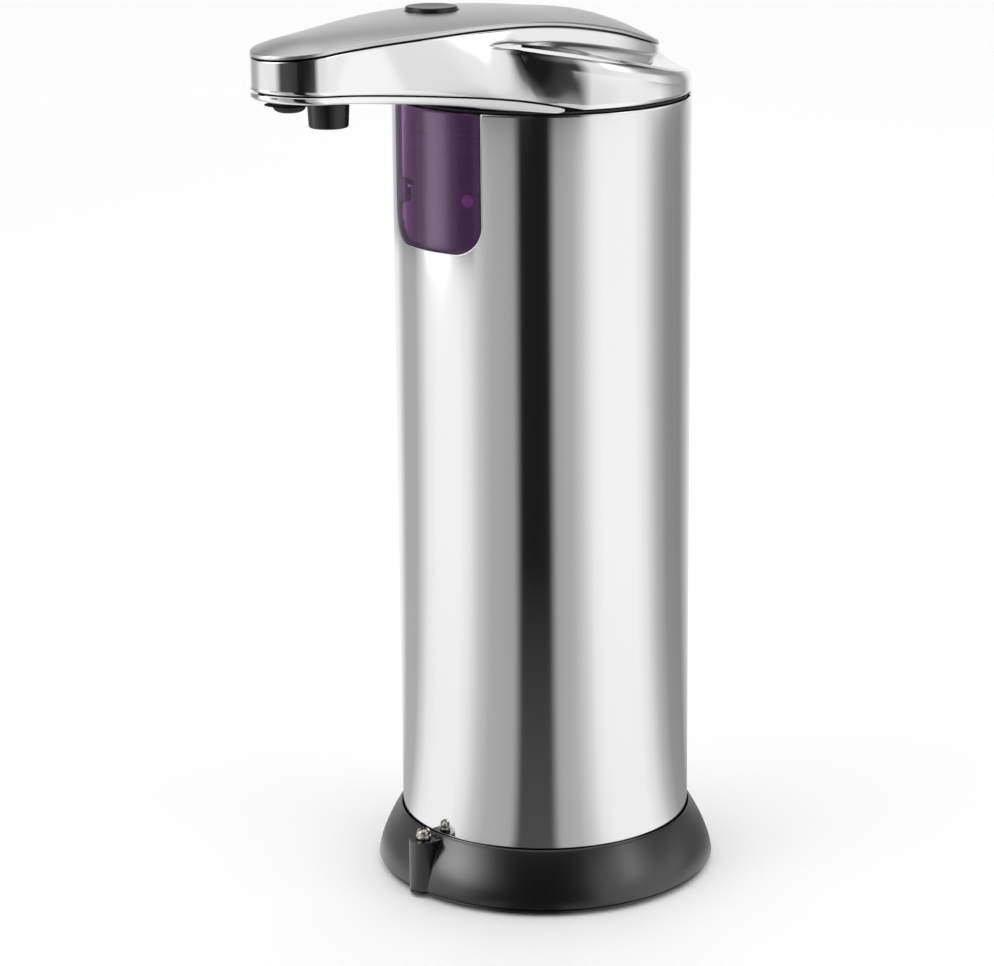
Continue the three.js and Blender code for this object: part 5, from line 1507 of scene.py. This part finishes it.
@dataclass
class Studio:
    """White surround, soft lamps, a room that only the metal mirrors, and the camera.

    The rooms are pairs of an angle to the right of the camera, seen from the dispenser, and a brightness.
    Pairs of heights or distances, in metres, say where one part of the mirrored room turns into the next.
    """

    azimuth: float = 48.7
    distance: float = 708.29
    height: float = 280.16
    pitch: float = 0.2630
    roll: float = -0.009
    yaw: float = 0.0149
    lens: float = 116.98
    sensor_width: float = 36.0
    aim_height: float = 0.1
    lamp_distance: float = 1.2
    floor_radius: float = 4.0
    room_radius: float = 1.5
    room_height: float = 2.2
    close_light: float = 0.12
    close_color: float = 0.6
    close_ground: Point2 = (0.06, 0.30)
    low_room: Sequence[Point2] = (
        (-180, 0.95), (-150, 0.95), (-134, 0.46), (-114, 0.46), (-98, 0.95), (-88, 1.05), (-66, 1.05),
        (-57, 0.9), (-49, 0.62), (-40, 0.45), (-22, 0.40), (-16, 0.012), (4, 0.012), (10, 0.40), (22, 0.48),
        (30, 0.68), (38, 0.95), (46, 1.05), (74, 1.05), (84, 0.88), (95, 0.52), (108, 0.30), (130, 0.26),
        (158, 0.8), (180, 0.95),
    )
    pane_left: Sequence[Point2] = (
        (-180, 0.95), (-150, 0.5), (-134, 0.3), (-114, 0.25), (-103, 0.8), (-94, 2.8), (-88, 3.2),
        (-81, 2.8), (-72, 0.9), (-64, 0.25), (-55, 0.15), (-51, 0.62),
    )
    pane_left_end: float = -45.0
    high_room: Sequence[Point2] = (
        (-180, 0.95), (-150, 0.95), (-134, 0.46), (-114, 0.50), (-98, 0.90), (-58, 0.90), (-44, 0.07),
        (-10, 0.04), (-6, 0.012), (16, 0.012), (28, 0.05), (33, 0.40), (38, 0.82), (52, 0.86), (64, 0.95),
        (100, 0.95), (118, 0.45), (140, 0.34), (156, 0.9), (180, 0.95),
    )
    sky_room: Sequence[Point2] = (
        (-180, 0.95), (-140, 0.3), (-102, 0.35), (-92, 1.3), (-76, 4.5), (-63, 4.2), (-48, 1.6), (-37, 0.4),
        (-27, 0.08), (-18, 0.02), (-3, 0.01), (8, 0.03), (20, 0.07), (28, 0.15), (34, 0.5), (40, 0.88),
        (52, 0.95), (61, 2.1), (68, 2.0), (77, 1.0), (88, 0.45), (105, 0.3), (140, 0.3), (160, 0.6),
        (180, 0.8),
    )
    brightest: float = 4.5
    faded_share: float = 0.25
    pane_ground: Point2 = (0.74, 0.82)
    far_ground: Point2 = (1.213, 1.235)
    sky_start: Point2 = (0.26, 0.5)
    sky_fade: Point2 = (0.75, 1.2)
    sky_end: Point2 = (1.45, 1.75)

    def direction(self, degrees: float) -> Vector:
        """Level direction at an angle towards the right of the camera, seen from the dispenser."""
        turned = math.radians(self.azimuth + degrees)
        return Vector((math.sin(turned), -math.cos(turned), 0))

    def build_camera(self) -> None:
        """Stand the camera where the photographer stood."""
        spin = Matrix.Rotation(math.radians(self.azimuth), 3, "Z")
        right = spin @ Vector((math.cos(self.yaw), math.sin(self.yaw), 0))
        level = spin @ Vector((-math.sin(self.yaw), math.cos(self.yaw), 0))
        ahead = level * math.cos(self.pitch) - Vector((0, 0, math.sin(self.pitch)))
        up = level * math.sin(self.pitch) + Vector((0, 0, math.cos(self.pitch)))
        tilted_right = right * math.cos(self.roll) + up * math.sin(self.roll)
        tilted_up = up * math.cos(self.roll) - right * math.sin(self.roll)
        data = bpy.data.cameras.new("camera")
        data.lens = self.lens
        data.sensor_width = self.sensor_width
        data.clip_start = 0.01
        data.clip_end = 50
        camera = bpy.data.objects.new("camera", data)
        bpy.context.scene.collection.objects.link(camera)
        place = self.direction(0) * self.distance + Vector((0, 0, self.height))
        turn = Matrix((tilted_right, tilted_up, -ahead)).transposed().to_4x4()
        camera.matrix_world = Matrix.Translation(place * MM) @ turn
        bpy.context.scene.camera = camera

    def build_world(self) -> None:
        """Plain white all round."""
        world = bpy.data.worlds.new("studio")
        world.use_nodes = True
        world.node_tree.nodes.clear()
        nodes = Nodes(world.node_tree)
        white = nodes.add("ShaderNodeBackground", {"Color": grey(1.0), "Strength": 1.0})
        nodes.add("ShaderNodeOutputWorld", {"Surface": white.outputs[0]})
        bpy.context.scene.world = world

    def build_floor(self) -> None:
        """A pale floor that keeps the shadow."""
        Workbench.clear()
        bpy.ops.mesh.primitive_circle_add(
            vertices=64, radius=self.floor_radius, fill_type="NGON", location=(0, 0, -0.0005)
        )
        floor = Workbench.named("floor")
        material = bpy.data.materials.new("floor_white")
        material.use_nodes = True
        shader = material.node_tree.nodes["Principled BSDF"]
        for label, value in (("Base Color", grey(0.96)), ("Roughness", 0.6), ("Specular IOR Level", 0.2)):
            shader.inputs[label].default_value = value
        floor.data.materials.append(material)

    @staticmethod
    def _ramp(nodes: Nodes, share: Socket, stops: Sequence[Point2], scale: float) -> Socket:
        """Brightness by the angle round the dispenser.

        Args:
            nodes: The writer of the material's nodes.
            share: The angle as a share of the whole turn.
            stops: Pairs of angle and brightness.
            scale: A number that no brightness is above.

        Returns:
            The brightness as a colour.
        """
        ramp = nodes.add("ShaderNodeValToRGB", {0: share})
        own = ramp.color_ramp.elements
        for element, (degrees, value) in ((own[0], stops[0]), (own[1], stops[-1])):
            element.position, element.color = degrees / 360 + 0.5, grey(value / scale)
        for degrees, value in stops[1:-1]:
            own.new(degrees / 360 + 0.5).color = grey(value / scale)
        return nodes.scaled(ramp.outputs[0], scale)

    @staticmethod
    def _step(nodes: Nodes, value: Socket, span: Point2) -> Socket:
        """A smooth step from 0 to 1 over a span."""
        inputs = {0: value, 1: span[0], 2: span[1]}
        return nodes.add("ShaderNodeMapRange", inputs, interpolation_type="SMOOTHSTEP").outputs[0]

    def _surround_material(self) -> bpy.types.Material:
        """What the metal mirrors: a bright room with dark cards, by angle, distance and height."""
        material = bpy.data.materials.new("mirrored_room")
        material.use_nodes = True
        material.node_tree.nodes.clear()
        nodes = Nodes(material.node_tree)
        place = nodes.add("ShaderNodeTexCoord").outputs["Object"]
        to_right = nodes.vectors("DOT_PRODUCT", place, self.direction(90)).outputs["Value"]
        to_camera = nodes.vectors("DOT_PRODUCT", place, self.direction(0)).outputs["Value"]
        turned = nodes.maths("ARCTAN2", to_right, to_camera)
        share = nodes.maths("ADD", nodes.maths("DIVIDE", turned, math.tau), 0.5)
        pane_right = [stop for stop in self.low_room if stop[0] > self.pane_left_end]
        low = self._ramp(nodes, share, self.low_room, 1.0)
        high = self._ramp(nodes, share, self.high_room, 1.0)
        pane = self._ramp(nodes, share, [*self.pane_left, *pane_right], self.brightest)
        sky = self._ramp(nodes, share, self.sky_room, self.brightest)
        flat = nodes.vectors("MULTIPLY", place, (1, 1, 0)).outputs[0]
        away = nodes.add("ShaderNodeVectorMath", {0: flat}, operation="LENGTH").outputs["Value"]
        height = nodes.add("ShaderNodeSeparateXYZ", {0: place}).outputs[2]
        start, end = self.close_ground
        close = nodes.add("ShaderNodeMapRange", {0: away, 1: start, 2: end, 3: self.close_light, 4: 0.0})
        lit = nodes.blend(close.outputs[0], low, grey(self.close_color))
        dim = nodes.scaled(sky, self.faded_share)
        faded = nodes.blend(self._step(nodes, height, self.sky_fade), sky, dim)
        for measure, span, beyond in (
            (away, self.pane_ground, pane),
            (away, self.far_ground, high),
            (height, self.sky_start, faded),
            (height, self.sky_end, grey(1.0)),
        ):
            lit = nodes.blend(self._step(nodes, measure, span), lit, beyond)
        glow = nodes.add("ShaderNodeEmission", {"Color": lit, "Strength": 1.0})
        nodes.add("ShaderNodeOutputMaterial", {"Surface": glow.outputs[0]})
        return material

    def build_surround(self) -> None:
        """A ground and a wall that only mirrors see."""
        material = self._surround_material()
        size = {"vertices": 96, "radius": self.room_radius}
        Workbench.clear()
        bpy.ops.mesh.primitive_circle_add(fill_type="NGON", location=(0, 0, 0.0001), **size)
        ground = Workbench.named("mirrored_ground")
        middle = (0, 0, self.room_height / 2)
        bpy.ops.mesh.primitive_cylinder_add(
            depth=self.room_height, end_fill_type="NOTHING", location=middle, **size
        )
        wall = Workbench.named("mirrored_wall")
        for piece in (wall, ground):
            Workbench.settle(piece)
            piece.data.materials.append(material)
            piece.visible_camera = False
            piece.visible_diffuse = False
            piece.visible_shadow = False
            piece.visible_transmission = False

    def _lamp(self, name: str, place: Vector, size: float, watts: float) -> None:
        """A square soft lamp that looks at the dispenser."""
        data = bpy.data.lights.new(name, "AREA")
        data.size = size
        data.energy = watts
        lamp = bpy.data.objects.new(name, data)
        bpy.context.scene.collection.objects.link(lamp)
        aim = Vector((0, 0, self.aim_height)) - place
        lamp.matrix_world = Matrix.Translation(place) @ aim.to_track_quat("-Z", "Y").to_matrix().to_4x4()
        lamp.visible_camera = False
        lamp.visible_glossy = False

    def build_lamps(self) -> None:
        """Overhead and side lamps."""
        self._lamp("lamp_top", Vector((0.1, -0.1, 1.3)), 1.0, 1.5)
        for name, degrees, height in (("lamp_left", -60, 0.7), ("lamp_right", 70, 0.6)):
            place = self.direction(degrees) * self.lamp_distance + Vector((0, 0, height))
            self._lamp(name, place, 0.8, 1.0)

    def build(self) -> None:
        """Set up the whole studio."""
        self.build_camera()
        self.build_world()
        self.build_floor()
        self.build_surround()
        self.build_lamps()
        bpy.context.scene.view_settings.view_transform = "Standard"


def main() -> None:
    """Build every piece, dress it and set the scene."""
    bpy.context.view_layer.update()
    Studio().build()
    palette = Palette()
    palette.dress_solids(frame["record"], frame["nodes"])
    lines = HeadLines()
    plate, arm = TopPlate(lines), ArmUnderside(lines)
    column, base = SleeveAndTank(), BaseAndCover()
    for build in (
        HeadShell(lines).build,
        plate.build,
        PowerButton(plate).build,
        arm.build_lip,
        arm.build_panel,
        arm.build_nozzle,
        arm.build_sensor,
        column.build_sleeve,
        column.build_tank,
        column.build_studs,
        base.build_ring,
        base.build_gasket,
        base.build_screw,
        base.build_cover,
        base.build_pad,
    ):
        build(palette)
    Workbench.clear()


if __name__ == "__main__":
    main()
